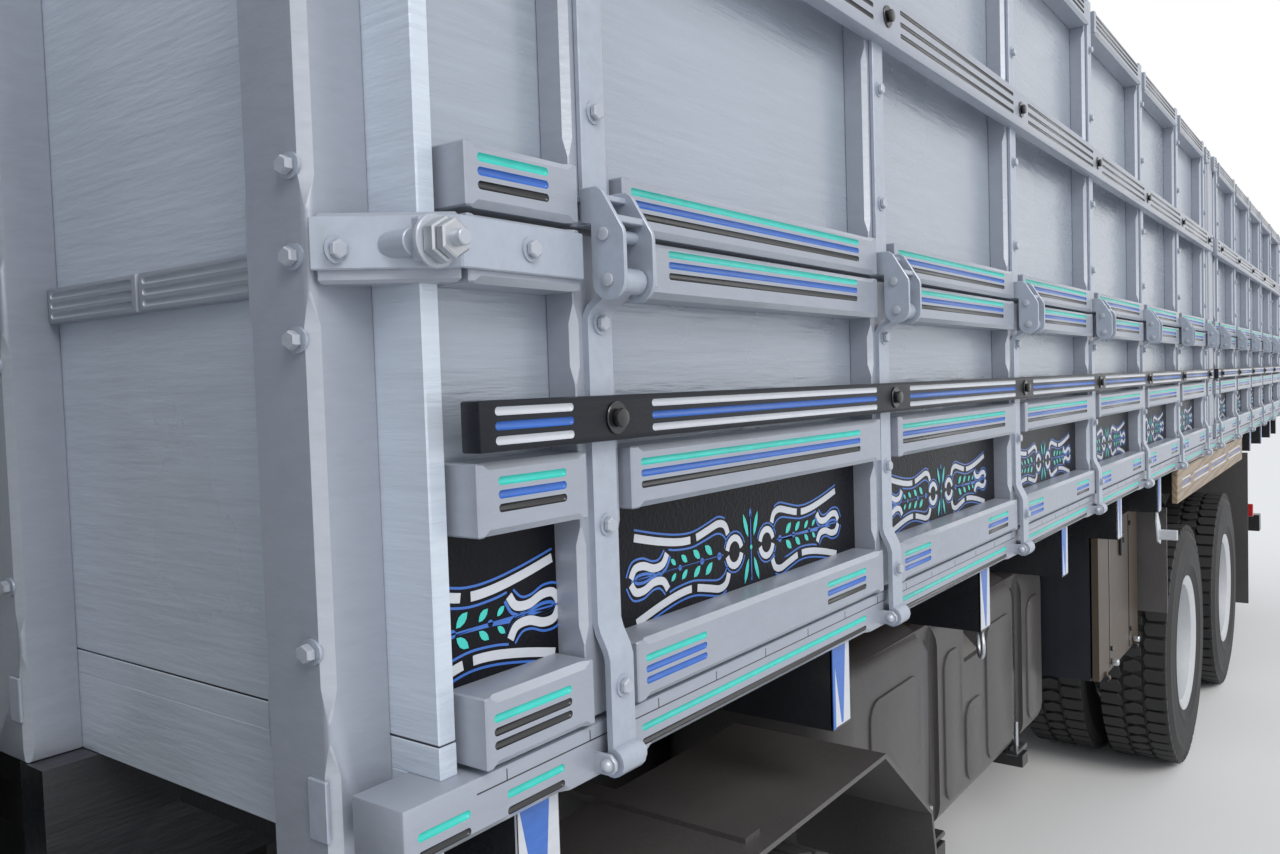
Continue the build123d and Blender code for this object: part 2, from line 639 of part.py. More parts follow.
for index, u in enumerate(STEER_AXLES, start=1):
    with BuildPart() as knuckle:
        with Locations((at(u), KINGPIN_Y, AXLE_Z)):
            Cylinder(KINGPIN_R, 210)
        block(u - 50, u + 50, KINGPIN_Y - 50, KINGPIN_Y + 80, AXLE_Z + 65 + SEAM, AXLE_Z + 105)
        block(u - 50, u + 50, KINGPIN_Y - 50, KINGPIN_Y + 80, AXLE_Z - 105, AXLE_Z - 65 - SEAM)
        block(u - 50, u + 50, KINGPIN_Y + 54, KINGPIN_Y + 80, AXLE_Z - 105, AXLE_Z + 105)
        with Locations((at(u), (KINGPIN_Y + 70 + STEER_WHEEL_Y + 100) / 2, AXLE_Z)):
            Cylinder(SPINDLE_R, STEER_WHEEL_Y + 100 - KINGPIN_Y - 70, rotation=(90, 0, 0))
    save_pair(knuckle.part, f"knuckle_{index}")
    rim = turned(u, wheel_disc(STEER_WHEEL_Y - 115, STEER_WHEEL_Y + 115, STEER_WHEEL_Y + 60))
    with BuildPart() as steer_rim:
        add(rim)
        with Locations((at(u), STEER_WHEEL_Y + 30, AXLE_Z)):
            Cylinder(HUB_R, 150, rotation=(90, 0, 0))
            Cylinder(SPINDLE_R + SHAFT_PLAY, 149 + 1, rotation=(90, 0, 0), mode=Mode.SUBTRACT)
    save_pair(steer_rim.part, f"rim_{index}")
    save_pair(turned(u, tyre_points(STEER_WHEEL_Y)), f"tyre_{index}")

for index, u in enumerate(DRIVE_AXLES, start=3):
    twin_in = TWIN_OUT_Y - TWIN_PITCH
    with BuildPart() as twin_rim:
        add(turned(u, wheel_disc(TWIN_OUT_Y - 115, TWIN_OUT_Y + 115, TWIN_OUT_Y - 60)))
        add(turned(u, wheel_disc(twin_in - 115, twin_in + 115, twin_in + 60)))
        with Locations((at(u), TWIN_OUT_Y - 130, AXLE_Z)):
            Cylinder(HUB_R, 300, rotation=(90, 0, 0))
            Cylinder(SPINDLE_R + SHAFT_PLAY, 300, rotation=(90, 0, 0), mode=Mode.SUBTRACT)
    save_pair(twin_rim.part, f"rim_{index}")
    with BuildPart() as twin_tyres:
        add(turned(u, tyre_points(TWIN_OUT_Y)))
        add(turned(u, tyre_points(twin_in)))
    save_pair(twin_tyres.part, f"tyre_{index}")

# Cab: one hollow form, cut where its panels meet
with BuildPart() as cab_form:
    with BuildSketch(lengthwise(0)):
        with BuildLine():
            Polyline((CAB_REAR, CAB_LOW), (CAB_FRONT + 20, CAB_LOW), (CAB_FRONT, SILL_Z), (CAB_FRONT + 150, LINTEL_Z + 60),
                     (CAB_FRONT + 330, CAB_TOP), (CAB_REAR, CAB_TOP), close=True)
        make_face()
    extrude(amount=CAB_HALF, both=True)
    with BuildSketch(lengthwise(0)):
        with BuildLine():
            Polyline((CAB_REAR - CAB_WALL, FLOOR_TOP), (CAB_FRONT + 20 + CAB_WALL, FLOOR_TOP),
                     (CAB_FRONT + CAB_WALL, SILL_Z), (CAB_FRONT + 150 + CAB_WALL, LINTEL_Z + 60),
                     (CAB_FRONT + 350 + CAB_WALL, CAB_TOP - CAB_WALL), (CAB_REAR - CAB_WALL, CAB_TOP - CAB_WALL), close=True)
        make_face()
    extrude(amount=CAB_HALF - CAB_WALL, both=True, mode=Mode.SUBTRACT)
    block(CAB_FRONT - 50, CAB_FRONT + 240, -CAB_HALF + 160, CAB_HALF - 160, SILL_Z, LINTEL_Z, mode=Mode.SUBTRACT)


def cab_piece(u0, u1, z0, z1):
    """The stretch of the hollow cab form between two stations and two heights."""
    with BuildPart() as made:
        add(cab_form.part)
        block(u0, u1, -CAB_HALF - 10, CAB_HALF + 10, z0, z1, mode=Mode.INTERSECT)
    return made.part


with BuildPart() as cab_floor:
    add(cab_piece(CAB_FRONT - 50, CAB_REAR + 50, CAB_LOW - 10, FLOOR_TOP))
    for s in (1, -1):
        lug_in = s * PIVOT_Y - PIVOT_LUG / 2
        block(CAB_PIVOT_U - 30, CAB_PIVOT_U + 30, lug_in, lug_in + PIVOT_LUG, CAB_PIVOT_Z - 25, CAB_LOW)
        with Locations((at(CAB_PIVOT_U), s * PIVOT_Y, CAB_PIVOT_Z)):
            Cylinder(PIVOT_R + PIN_PLAY, PIVOT_LUG, rotation=(90, 0, 0), mode=Mode.SUBTRACT)
save(cab_floor.part, "cab_floor")
save(cab_piece(CAB_FRONT - 50, CAB_REAR + 50, ROOF_LOW, CAB_TOP + 10), "cab_roof")
save(cab_piece(B_POST, CAB_REAR + 50, FLOOR_TOP, ROOF_LOW), "cab_back")
COLUMN = Plane(origin=(at(-2130), 620, 1960), x_dir=(0, 1, 0), z_dir=(-0.5, 0, 0.866))
with BuildPart() as cab_front:
    add(cab_piece(CAB_FRONT - 50, A_POST, FLOOR_TOP, ROOF_LOW))
    dash_half = CAB_HALF - CAB_WALL - MOVE_GAP
    block(CAB_FRONT + 40, A_POST + 160, -dash_half, dash_half, SILL_Z - 280, SILL_Z - 40)
    with BuildSketch(COLUMN.offset(-330)):
        Circle(35)
    extrude(amount=320)
    with BuildSketch(COLUMN.offset(-20)):
        Circle(12)
    extrude(amount=40)
    for s in (1, -1):
        for z in DOOR_HINGES:
            for low in (z - DOOR_EYE_H / 2 - LUG_GAP - LUG_T, z + DOOR_EYE_H / 2 + LUG_GAP):
                with BuildSketch(Plane.XY.offset(low)):
                    with BuildLine():
                        Polyline([(at(DOOR_PIN_U + a), s * (DOOR_PIN_Y + b)) for a, b in DOOR_LUG], close=True)
                    make_face()
                extrude(amount=LUG_T)
            with Locations((at(DOOR_PIN_U), s * DOOR_PIN_Y, z)):
                Cylinder(DOOR_PIN_R, DOOR_EYE_H + 2 * LUG_GAP + 2 * LUG_T)
save(cab_front.part, "cab_front")
with BuildPart() as windscreen:
    with BuildSketch(lengthwise(0)):
        with BuildLine():
            Polyline((CAB_FRONT + 10, SILL_Z + SEAM), (CAB_FRONT + 141, LINTEL_Z - SEAM), (CAB_FRONT + 147, LINTEL_Z - SEAM),
                     (CAB_FRONT + 16, SILL_Z + SEAM), close=True)
        make_face()
    extrude(amount=CAB_HALF - 160 - SEAM, both=True)
save(windscreen.part, "windscreen")
with BuildPart() as seats:
    for y in (620, -620):
        block(-1950, -1420, y - 260, y + 260, FLOOR_TOP + SEAM, FLOOR_TOP + 420)
        block(-1520, -1400, y - 250, y + 250, FLOOR_TOP + 420, FLOOR_TOP + 1150)
save(seats.part, "seats")
with BuildPart() as cab_door:
    block(A_POST + MOVE_GAP, B_POST - MOVE_GAP, CAB_HALF - CAB_WALL, CAB_HALF, DOOR_LOW, DOOR_TOP)
    block(A_POST + 110, B_POST - 100, CAB_HALF - 100, CAB_HALF + 50, SILL_Z, LINTEL_Z - 30, mode=Mode.SUBTRACT)
    for z in DOOR_HINGES:
        block(DOOR_PIN_U, A_POST + 90, CAB_HALF, CAB_HALF + 10, z - DOOR_EYE_H / 2, z + DOOR_EYE_H / 2)
        with Locations((at(DOOR_PIN_U), DOOR_PIN_Y, z)):
            Cylinder(DOOR_EYE_R, DOOR_EYE_H)
            Cylinder(DOOR_PIN_R + DOOR_PLAY, DOOR_EYE_H, mode=Mode.SUBTRACT)
save_pair(cab_door.part, "cab_door")

with BuildPart() as steering_wheel:
    with BuildSketch(COLUMN):
        Circle(225)
        Circle(200, mode=Mode.SUBTRACT)
        Rectangle(420, 30)
        Circle(50)
        Circle(12 + PIN_PLAY, mode=Mode.SUBTRACT)
    extrude(amount=24)
save(steering_wheel.part, "steering_wheel")
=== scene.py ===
"""Four-axle stake-body truck: painted woodwork, ironwork, wheels, cab, and a plain studio round it."""

from __future__ import annotations

import logging
import math
from contextlib import contextmanager
from dataclasses import dataclass, field
from enum import Enum
from typing import Iterable, Iterator, Optional, Sequence

import bmesh
import bpy
from mathutils import Matrix, Vector

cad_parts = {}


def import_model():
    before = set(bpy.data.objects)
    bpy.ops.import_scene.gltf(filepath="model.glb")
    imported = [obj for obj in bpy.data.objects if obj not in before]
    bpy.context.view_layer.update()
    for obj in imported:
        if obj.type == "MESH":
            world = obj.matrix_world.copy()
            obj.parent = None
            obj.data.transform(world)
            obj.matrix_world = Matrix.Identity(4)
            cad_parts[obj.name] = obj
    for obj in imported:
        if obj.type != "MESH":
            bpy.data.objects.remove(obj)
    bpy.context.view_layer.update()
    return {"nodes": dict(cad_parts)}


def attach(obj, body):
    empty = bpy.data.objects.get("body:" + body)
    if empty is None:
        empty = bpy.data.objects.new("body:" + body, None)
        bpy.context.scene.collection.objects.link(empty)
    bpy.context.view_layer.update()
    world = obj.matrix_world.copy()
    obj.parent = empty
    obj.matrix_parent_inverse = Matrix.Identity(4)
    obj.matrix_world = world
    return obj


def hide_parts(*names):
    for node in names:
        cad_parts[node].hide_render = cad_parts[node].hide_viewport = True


LOG = logging.getLogger("truck")

COAT_ROUGH = 0.12                   # roughness of the clear coat on every finish

Point2 = tuple[float, float]
Point3 = tuple[float, float, float]
Colour = tuple[float, float, float]
Piece = bpy.types.Object
Socket = bpy.types.NodeSocket


# Finishes


class Tree:
    """Node tree of one new material, with short calls to add nodes and to join them."""

    def __init__(self, name: str) -> None:
        """Start a material whose only nodes are its output and one Principled shader.

        Args:
            name: Name of the material.
        """
        self.material = bpy.data.materials.new(name)
        self.material.use_nodes = True
        self.nodes = self.material.node_tree.nodes
        self.links = self.material.node_tree.links
        self.shader = self.nodes["Principled BSDF"]
        self._coords: Optional[Socket] = None

    def add(self, kind: str, sockets: dict[str | int, object], **settings: object) -> bpy.types.Node:
        """Add a node and fill its inputs.

        Args:
            kind: Node type without the "ShaderNode" in front.
            sockets: Input name or number, with a value or an output socket to join.
            settings: Properties of the node.

        Returns:
            The new node.
        """
        node = self.nodes.new("ShaderNode" + kind)
        for key, value in settings.items():
            setattr(node, key, value)
        for key, value in sockets.items():
            self.fill(node, key, value)
        return node

    def fill(self, node: bpy.types.Node, key: str | int, value: object) -> None:
        """Set one input of a node, or join an output to it.

        Args:
            node: The node.
            key: Input name or number.
            value: Number, colour or output socket.
        """
        if isinstance(value, Socket):
            self.links.new(value, node.inputs[key])
        else:
            node.inputs[key].default_value = value

    def coords(self, scale: Point3 = (1.0, 1.0, 1.0)) -> Socket:
        """Object coordinates, stretched.

        Args:
            scale: Repeats per metre along each axis.

        Returns:
            The vector output.
        """
        if self._coords is None:
            self._coords = self.add("TexCoord", {}).outputs["Object"]
        return self.add("Mapping", {"Vector": self._coords, "Scale": scale}).outputs["Vector"]

    def noise(self, scale: Point3, detail: float = 3.0, roughness: float = 0.55) -> Socket:
        """Grey noise on object coordinates, with its repeats per metre along each axis."""
        sockets = {"Vector": self.coords(scale), "Scale": 1.0, "Detail": detail, "Roughness": roughness}
        return self.add("TexNoise", sockets).outputs[0]

    def spread(self, value: Socket, low: float, high: float,
               start: float = 0.3, end: float = 0.7) -> Socket:
        """Map the stretch of a grey value from start to end to the stretch from low to high."""
        return self.add("MapRange", {0: value, 1: start, 2: end, 3: low, 4: high}).outputs[0]

    def blend(self, factor: object, first: object, second: object) -> Socket:
        """Mix of two colours.

        Args:
            factor: Share of the second colour.
            first: Colour, as three numbers or a socket.
            second: Colour, as three numbers or a socket.

        Returns:
            The colour output.
        """
        node = self.add("Mix", {}, data_type="RGBA")
        self.fill(node, 0, factor)
        for key, value in ((6, first), (7, second)):
            self.fill(node, key, (*value, 1.0) if isinstance(value, tuple) else value)
        return node.outputs[2]

    def bump(self, heights: Sequence[tuple[Socket, float]]) -> None:
        """Chain of bumps that ends in the shader's normal.

        Args:
            heights: Height socket and its depth in metres, coarse ones first.
        """
        normal: Optional[Socket] = None
        for height, depth in heights:
            sockets: dict[str | int, object] = {"Height": height, "Distance": depth, "Strength": 1.0}
            if normal is not None:
                sockets["Normal"] = normal
            normal = self.add("Bump", sockets).outputs[0]
        self.links.new(normal, self.shader.inputs["Normal"])


@dataclass(frozen=True)
class Finish:
    """Painted or moulded surface: colour with slow drift, roughness with smears, and a fine relief."""

    name: str
    colour: Colour
    drift: float = 0.12             # share by which the colour darkens in patches
    rough: float = 0.4
    smear: float = 0.08             # change of roughness
    metal: float = 0.0
    coat: float = 0.0
    grain: Point3 = (60.0, 60.0, 60.0)
    relief: float = 0.0002          # depth of the grain
    patch: Point3 = (3.0, 3.0, 3.0)
    wave: float = 0.0               # depth of slow unevenness
    see: float = 0.0                # transmission
    sheen: float = 0.0
    gloss: float = 0.5              # specular level

    def material(self) -> bpy.types.Material:
        """The material of this finish, made at its first use."""
        return bpy.data.materials.get(self.name) or self.make()

    def make(self) -> bpy.types.Material:
        """Make the material.

        Returns:
            The new material.
        """
        tree = Tree(self.name)
        patches = tree.noise(self.patch, 4.0)
        grain = tree.noise(self.grain, 4.0, 0.6)
        self.paint(tree, patches, grain)
        tree.fill(tree.shader, "Roughness",
                  tree.spread(patches, self.rough - self.smear, self.rough + self.smear))
        levels = {"Metallic": self.metal, "Coat Weight": self.coat, "Coat Roughness": COAT_ROUGH,
                  "Transmission Weight": self.see, "Sheen Weight": self.sheen,
                  "Specular IOR Level": self.gloss}
        for socket, value in levels.items():
            tree.fill(tree.shader, socket, value)
        tree.bump(self.heights(tree, patches, grain))
        return tree.material

    def paint(self, tree: Tree, patches: Socket, grain: Socket) -> None:
        """Colour the shader.

        Args:
            tree: The material's tree.
            patches: Slow noise.
            grain: Fine noise.
        """
        dark = tuple(c * (1.0 - self.drift) for c in self.colour)
        pale = tuple(min(c * (1.0 + 0.6 * self.drift), 1.0) for c in self.colour)
        slow = tree.blend(tree.spread(patches, 0.0, 1.0), dark, self.colour)
        tree.fill(tree.shader, "Base Color", tree.blend(tree.spread(grain, 0.0, 0.7), slow, pale))

    def heights(self, tree: Tree, patches: Socket,
                grain: Socket) -> list[tuple[Socket, float]]:
        """Heights of the relief.

        Args:
            tree: The material's tree.
            patches: Slow noise.
            grain: Fine noise.

        Returns:
            Height sockets with their depths.
        """
        found = [(grain, self.relief)]
        if self.wave:
            found.insert(0, (patches, self.wave))
        return found


@dataclass(frozen=True)
class PlyFinish(Finish):
    """Silver paint brushed over plywood: long raised grain and broad brush marks show in the gloss."""

    def heights(self, tree: Tree, patches: Socket,
                grain: Socket) -> list[tuple[Socket, float]]:
        """Heights of slow sag, brush marks, raised grain and orange peel.

        Args:
            tree: The material's tree.
            patches: Slow noise; not used.
            grain: Fine noise.

        Returns:
            Height sockets with their depths.
        """
        sag = tree.noise((2.2, 2.2, 5.0), 2.0)
        brush = tree.noise((10.0, 10.0, 70.0), 3.0)
        peel = tree.noise((160.0, 160.0, 160.0), 2.0)
        return [(sag, self.wave), (brush, 0.0012), (grain, self.relief), (peel, 0.00018)]


@dataclass(frozen=True)
class WoodFinish(Finish):
    """Bare or varnished timber: rings stretched along the length."""

    deep: Colour = (0.16, 0.10, 0.06)

    def paint(self, tree: Tree, patches: Socket, grain: Socket) -> None:
        """Colour the shader with rings and fine pores.

        Args:
            tree: The material's tree.
            patches: Slow noise; not used.
            grain: Fine noise.
        """
        rings = tree.add("TexWave", {"Vector": tree.coords((0.6, 9.0, 9.0)), "Scale": 2.2, "Distortion": 6.0,
                                     "Detail": 3.0, "Detail Scale": 1.5}, wave_type="BANDS",
                         bands_direction="DIAGONAL")
        toned = tree.blend(tree.spread(rings.outputs[1], 0.0, 1.0, 0.1, 0.9), self.deep, self.colour)
        worn = tuple(c * 0.72 for c in self.colour)
        tree.fill(tree.shader, "Base Color", tree.blend(tree.spread(grain, 0.0, 0.5), toned, worn))


GRAIN_X = (7.0, 7.0, 130.0)
SILVER = Finish("brushed_silver", (0.330, 0.356, 0.412), 0.10, 0.38, 0.07, 0.25, 0.15, (26.0, 26.0, 90.0),
                0.00045, wave=0.004)
# Same silver paint as the rails, a little lighter: painted sheen on the plywood panels.
SILVER_PLY_PAINTED_SHEEN = PlyFinish("silver_ply_painted_sheen", (0.350, 0.392, 0.452), 0.12, 0.28, 0.08, 0.30, 0.3, GRAIN_X, 0.0007,
                       wave=0.008)
# Same silver paint as the gates' plywood, made much lighter: painted light on the front-facing headboard.
HEAD_PLY_PAINTED_LIGHT = PlyFinish("head_ply_painted_light", (0.580, 0.640, 0.720), 0.12, 0.32, 0.08, 0.25, 0.3, GRAIN_X, 0.0007,
                     wave=0.008)
# Lighter silver than the paint round it: painted highlight on chamfers, groove faces, bolt heads, pins,
# rivets and the tie rod.
SILVER_HIGHLIGHT = Finish("silver_painted_highlight", (0.42, 0.45, 0.50), 0.12, 0.34, 0.06, 0.25, 0.2, (40.0, 40.0, 120.0),
                     0.0004)
SILVER_IRON = Finish("silver_iron", (0.38, 0.42, 0.49), 0.14, 0.36, 0.08, 0.25, 0.15, (70.0, 70.0, 70.0),
                     0.00035)
ZINC = Finish("zinc", (0.50, 0.52, 0.55), 0.2, 0.34, 0.1, 0.85, 0.0, (200.0, 200.0, 200.0), 0.0001)
TURQUOISE = Finish("turquoise_paint", (0.035, 0.53, 0.46), 0.22, 0.38, 0.08, 0.0, 0.3, (50.0, 50.0, 160.0),
                   0.0003)
BLUE = Finish("blue_paint", (0.03, 0.13, 0.47), 0.22, 0.38, 0.08, 0.0, 0.3, (50.0, 50.0, 160.0), 0.0003)
WHITE = Finish("white_paint", (0.54, 0.56, 0.60), 0.10, 0.38, 0.08, 0.0, 0.3, (50.0, 50.0, 160.0), 0.0003)
BLACK = Finish("black_paint", (0.010, 0.010, 0.012), 0.3, 0.30, 0.08, 0.0, 0.4, (80.0, 80.0, 160.0), 0.0004)
GUARD_BLACK = Finish("guard_black", (0.011, 0.013, 0.018), 0.3, 0.34, 0.1, 0.0, 0.0, (30.0, 30.0, 160.0),
                     0.0006, wave=0.002, gloss=0.25)
PANEL_BLACK = Finish("panel_black", (0.005, 0.005, 0.008), 0.2, 0.32, 0.06, 0.0, 0.0, (150.0, 150.0, 150.0),
                     0.0010, gloss=0.14)
TIMBER_BLACK = Finish("timber_black", (0.012, 0.013, 0.016), 0.3, 0.30, 0.1, 0.0, 0.4, (12.0, 90.0, 90.0),
                      0.0010)


class Groove(Enum):
    """Paint in a routed groove."""

    TURQUOISE = TURQUOISE
    BLUE = BLUE
    WHITE = WHITE
    BLACK = BLACK


TBK = (Groove.TURQUOISE, Groove.BLUE, Groove.BLACK)
TBB = (Groove.TURQUOISE, Groove.BLUE, Groove.BLUE)
TKK = (Groove.TURQUOISE, Groove.BLACK, Groove.BLACK)
WBW = (Groove.WHITE, Groove.BLUE, Groove.WHITE)
KKK = (Groove.BLACK, Groove.BLACK, Groove.BLACK)


# Modelling bench


class Bench:
    """Hand tools: each makes or changes one mesh, whose place is in its vertices."""

    @staticmethod
    def clear() -> None:
        """Leave edit mode and deselect everything."""
        if bpy.context.object is not None and bpy.context.object.mode != "OBJECT":
            bpy.ops.object.mode_set(mode="OBJECT")
        bpy.ops.object.select_all(action="DESELECT")

    @staticmethod
    def take(obj: Piece) -> None:
        """Select one object alone and make it active.

        Args:
            obj: The object.
        """
        Bench.clear()
        obj.select_set(True)
        bpy.context.view_layer.objects.active = obj

    @staticmethod
    @contextmanager
    def editing(obj: Piece, mode: str = "VERT") -> Iterator[bmesh.types.BMesh]:
        """Edit mode on one object.

        Args:
            obj: The object.
            mode: Select mode.

        Yields:
            The edit mesh, for selecting by place.
        """
        Bench.take(obj)
        bpy.ops.object.mode_set(mode="EDIT")
        bpy.ops.mesh.select_mode(type=mode)
        yield bmesh.from_edit_mesh(obj.data)
        bpy.ops.object.mode_set(mode="OBJECT")

    @staticmethod
    def settle(obj: Piece, name: str, finish: Optional[Finish] = None) -> Piece:
        """Put an object's place into its mesh, name it and paint it.

        Args:
            obj: The object.
            name: Its new name.
            finish: Paint, or None to keep what it has.

        Returns:
            The same object.
        """
        obj.data.transform(obj.matrix_basis)
        obj.matrix_basis = Matrix.Identity(4)
        obj.name = name
        obj.data.name = name
        if finish is not None:
            obj.data.materials.clear()
            obj.data.materials.append(finish.material())
        return obj

    @staticmethod
    def block(name: str, low: Point3, high: Point3, finish: Finish, bevel: float = 0.0,
              steps: int = 1) -> Piece:
        """Straight block between two corners, with its edges eased.

        Args:
            name: Piece name.
            low: Lowest corner.
            high: Highest corner.
            finish: Paint.
            bevel: Width of the eased edges.
            steps: Segments of the eased edges.

        Returns:
            The block.
        """
        Bench.clear()
        middle = [(a + b) / 2 for a, b in zip(low, high)]
        bpy.ops.mesh.primitive_cube_add(size=1.0, location=middle,
                                        scale=[abs(b - a) for a, b in zip(low, high)])
        made = Bench.settle(bpy.context.object, name, finish)
        if bevel:
            with Bench.editing(made, "EDGE"):
                bpy.ops.mesh.select_all(action="SELECT")
                bpy.ops.mesh.bevel(offset=bevel, segments=steps, affect="EDGES")
        return made

    @staticmethod
    def prism(name: str, outline: Sequence[Point2], start: float, end: float, finish: Finish,
              axis: str = "X", bevel: float = 0.0, steps: int = 1) -> Piece:
        """Outline pulled out along one axis.

        Args:
            name: Piece name.
            outline: Corners: (Y, Z) for axis X, (X, Z) for axis Y, (X, Y) for axis Z.
            start: Where the pull starts.
            end: Where it ends.
            finish: Paint.
            axis: Axis of the pull.
            bevel: Width of the eased edges of both faces.
            steps: Segments of the eased edges.

        Returns:
            The prism.
        """
        Bench.clear()
        bpy.ops.mesh.primitive_circle_add(vertices=len(outline), radius=1.0, fill_type="NGON")
        made = Bench.settle(bpy.context.object, name, finish)
        place = {"X": lambda a, b: (start, a, b), "Y": lambda a, b: (a, start, b),
                 "Z": lambda a, b: (a, b, start)}[axis]
        for vertex, (a, b) in zip(made.data.vertices, outline):
            vertex.co = place(a, b)
        along = {"X": (end - start, 0, 0), "Y": (0, end - start, 0), "Z": (0, 0, end - start)}[axis]
        with Bench.editing(made, "FACE"):
            bpy.ops.mesh.select_all(action="SELECT")
            bpy.ops.mesh.extrude_region_move(TRANSFORM_OT_translate={"value": along})
            bpy.ops.mesh.select_all(action="SELECT")
            bpy.ops.mesh.normals_make_consistent(inside=False)
            if bevel:
                bpy.ops.mesh.bevel(offset=bevel, segments=steps, affect="EDGES")
        return made

    @staticmethod
    def rod(name: str, start: Point3, end: Point3, radius: float, finish: Finish, sides: int = 16,
            bevel: float = 0.0, steps: int = 1) -> Piece:
        """Round or many-sided bar between two points.

        Args:
            name: Piece name.
            start: Middle of one end.
            end: Middle of the other end.
            radius: Radius.
            finish: Paint.
            sides: Number of sides.
            bevel: Width of the eased end edges.
            steps: Segments of the eased edges.

        Returns:
            The bar.
        """
        Bench.clear()
        a, b = Vector(start), Vector(end)
        turn = (b - a).to_track_quat("Z", "Y").to_euler()
        bpy.ops.mesh.primitive_cone_add(vertices=sides, radius1=radius, radius2=radius, depth=(b - a).length,
                                        location=(a + b) / 2, rotation=turn)
        made = Bench.settle(bpy.context.object, name, finish)
        if bevel:
            with Bench.editing(made, "EDGE") as mesh:
                bpy.ops.mesh.select_all(action="DESELECT")
                for edge in mesh.edges:
                    edge.select_set(any(len(face.verts) > 4 for face in edge.link_faces))
                bmesh.update_edit_mesh(made.data)
                bpy.ops.mesh.bevel(offset=bevel, segments=steps, affect="EDGES")
        return made

    @staticmethod
    def capsule(name: str, start: Point3, end: Point3, radius: float, finish: Finish,
                sides: int = 12) -> Piece:
        """Bar along X with round ends.

        Args:
            name: Piece name.
            start: Outer tip of one end.
            end: Outer tip of the other end.
            radius: Radius.
            finish: Paint.
            sides: Number of sides.

        Returns:
            The bar.
        """
        Bench.clear()
        middle = (Vector(start) + Vector(end)) / 2
        reach = (end[0] - start[0]) / 2 - radius
        bpy.ops.mesh.primitive_uv_sphere_add(segments=sides, ring_count=7, radius=radius, location=middle,
                                             rotation=(0.0, math.pi / 2, 0.0))
        made = Bench.settle(bpy.context.object, name, finish)
        for side in (1.0, -1.0):
            with Bench.editing(made) as mesh:
                bpy.ops.mesh.select_all(action="DESELECT")
                for vertex in mesh.verts:
                    vertex.select_set((vertex.co.x - middle.x) * side > 0.0)
                bmesh.update_edit_mesh(made.data)
                bpy.ops.transform.translate(value=(side * reach, 0.0, 0.0))
        return made

    @staticmethod
    def turned(name: str, profile: Sequence[Point2], centre: Point3, finish: Finish, sides: int = 48,
               axis: str = "Y") -> Piece:
        """Profile spun round an axis.

        Args:
            name: Piece name.
            profile: Closed outline as (radius, along), or an open one that starts and ends on the axis.
            centre: Point of the axis from which "along" is measured.
            finish: Paint.
            sides: Steps of the spin.
            axis: Axis of the spin, "X", "Y" or "Z".

        Returns:
            The turned piece.
        """
        Bench.clear()
        bpy.ops.mesh.primitive_circle_add(vertices=len(profile), radius=1.0, fill_type="NOTHING")
        made = Bench.settle(bpy.context.object, name, finish)
        spot = {"X": lambda r, t: (t, 0.0, r), "Y": lambda r, t: (r, t, 0.0),
                "Z": lambda r, t: (r, 0.0, t)}[axis]
        for vertex, (radius, along) in zip(made.data.vertices, profile):
            vertex.co = Vector(centre) + Vector(spot(radius, along))
        way = {"X": (1.0, 0.0, 0.0), "Y": (0.0, 1.0, 0.0), "Z": (0.0, 0.0, 1.0)}[axis]
        with Bench.editing(made):
            bpy.ops.mesh.select_all(action="SELECT")
            bpy.ops.mesh.spin(steps=sides, angle=math.tau, center=centre, axis=way)
            bpy.ops.mesh.select_all(action="SELECT")
            bpy.ops.mesh.remove_doubles(threshold=0.00002)
            bpy.ops.mesh.normals_make_consistent(inside=False)
        return made

    @staticmethod
    def cut(target: Piece, cutters: Sequence[Piece]) -> Piece:
        """Cut pieces out of a target; the cut faces keep the cutter's paint.

        Args:
            target: Piece that stays.
            cutters: Pieces that are used up.

        Returns:
            The target.
        """
        tool = Bench.join("cutter", cutters)
        Bench.take(target)
        change = target.modifiers.new("cut", "BOOLEAN")
        change.operation = "DIFFERENCE"
        change.solver = "EXACT"
        change.material_mode = "TRANSFER"
        change.use_self = True
        change.object = tool
        bpy.ops.object.modifier_apply(modifier=change.name)
        Bench.drop([tool])
        return target

    @staticmethod
    def drop(objects: Iterable[Piece]) -> None:
        """Delete helper pieces.

        Args:
            objects: Objects that are no longer needed.
        """
        for obj in objects:
            mesh = obj.data
            bpy.data.objects.remove(obj)
            if mesh.users == 0:
                bpy.data.meshes.remove(mesh)

    @staticmethod
    def join(name: str, parts: Sequence[Piece]) -> Piece:
        """Join several meshes into one object.

        Args:
            name: Name of the result.
            parts: Objects that are used up.

        Returns:
            The joined object.
        """
        Bench.clear()
        for part in parts:
            part.select_set(True)
        bpy.context.view_layer.objects.active = parts[0]
        if len(parts) > 1:
            bpy.ops.object.join()
        parts[0].name = name
        parts[0].data.name = name
        return parts[0]

    @staticmethod
    def copy(obj: Piece, move: Matrix | Point3, name: str = "") -> Piece:
        """Copy a piece to another place, turned the right way out when it is mirrored.

        Args:
            obj: Piece to copy.
            move: Offset, or the whole transform.
            name: Name of the copy.

        Returns:
            The copy.
        """
        made = obj.copy()
        made.data = obj.data.copy()
        bpy.context.scene.collection.objects.link(made)
        matrix = move if isinstance(move, Matrix) else Matrix.Translation(move)
        made.data.transform(matrix)
        if matrix.determinant() < 0:
            made.data.flip_normals()
        made.name = name or obj.name
        made.data.name = made.name
        return made

    @staticmethod
    def move(obj: Piece, matrix: Matrix, name: str) -> Piece:
        """Move a piece itself to another place, turned the right way out when it is mirrored.

        Args:
            obj: The piece.
            matrix: The whole transform.
            name: Its new name.

        Returns:
            The same piece.
        """
        obj.data.transform(matrix)
        if matrix.determinant() < 0:
            obj.data.flip_normals()
        obj.name = obj.data.name = name
        return obj

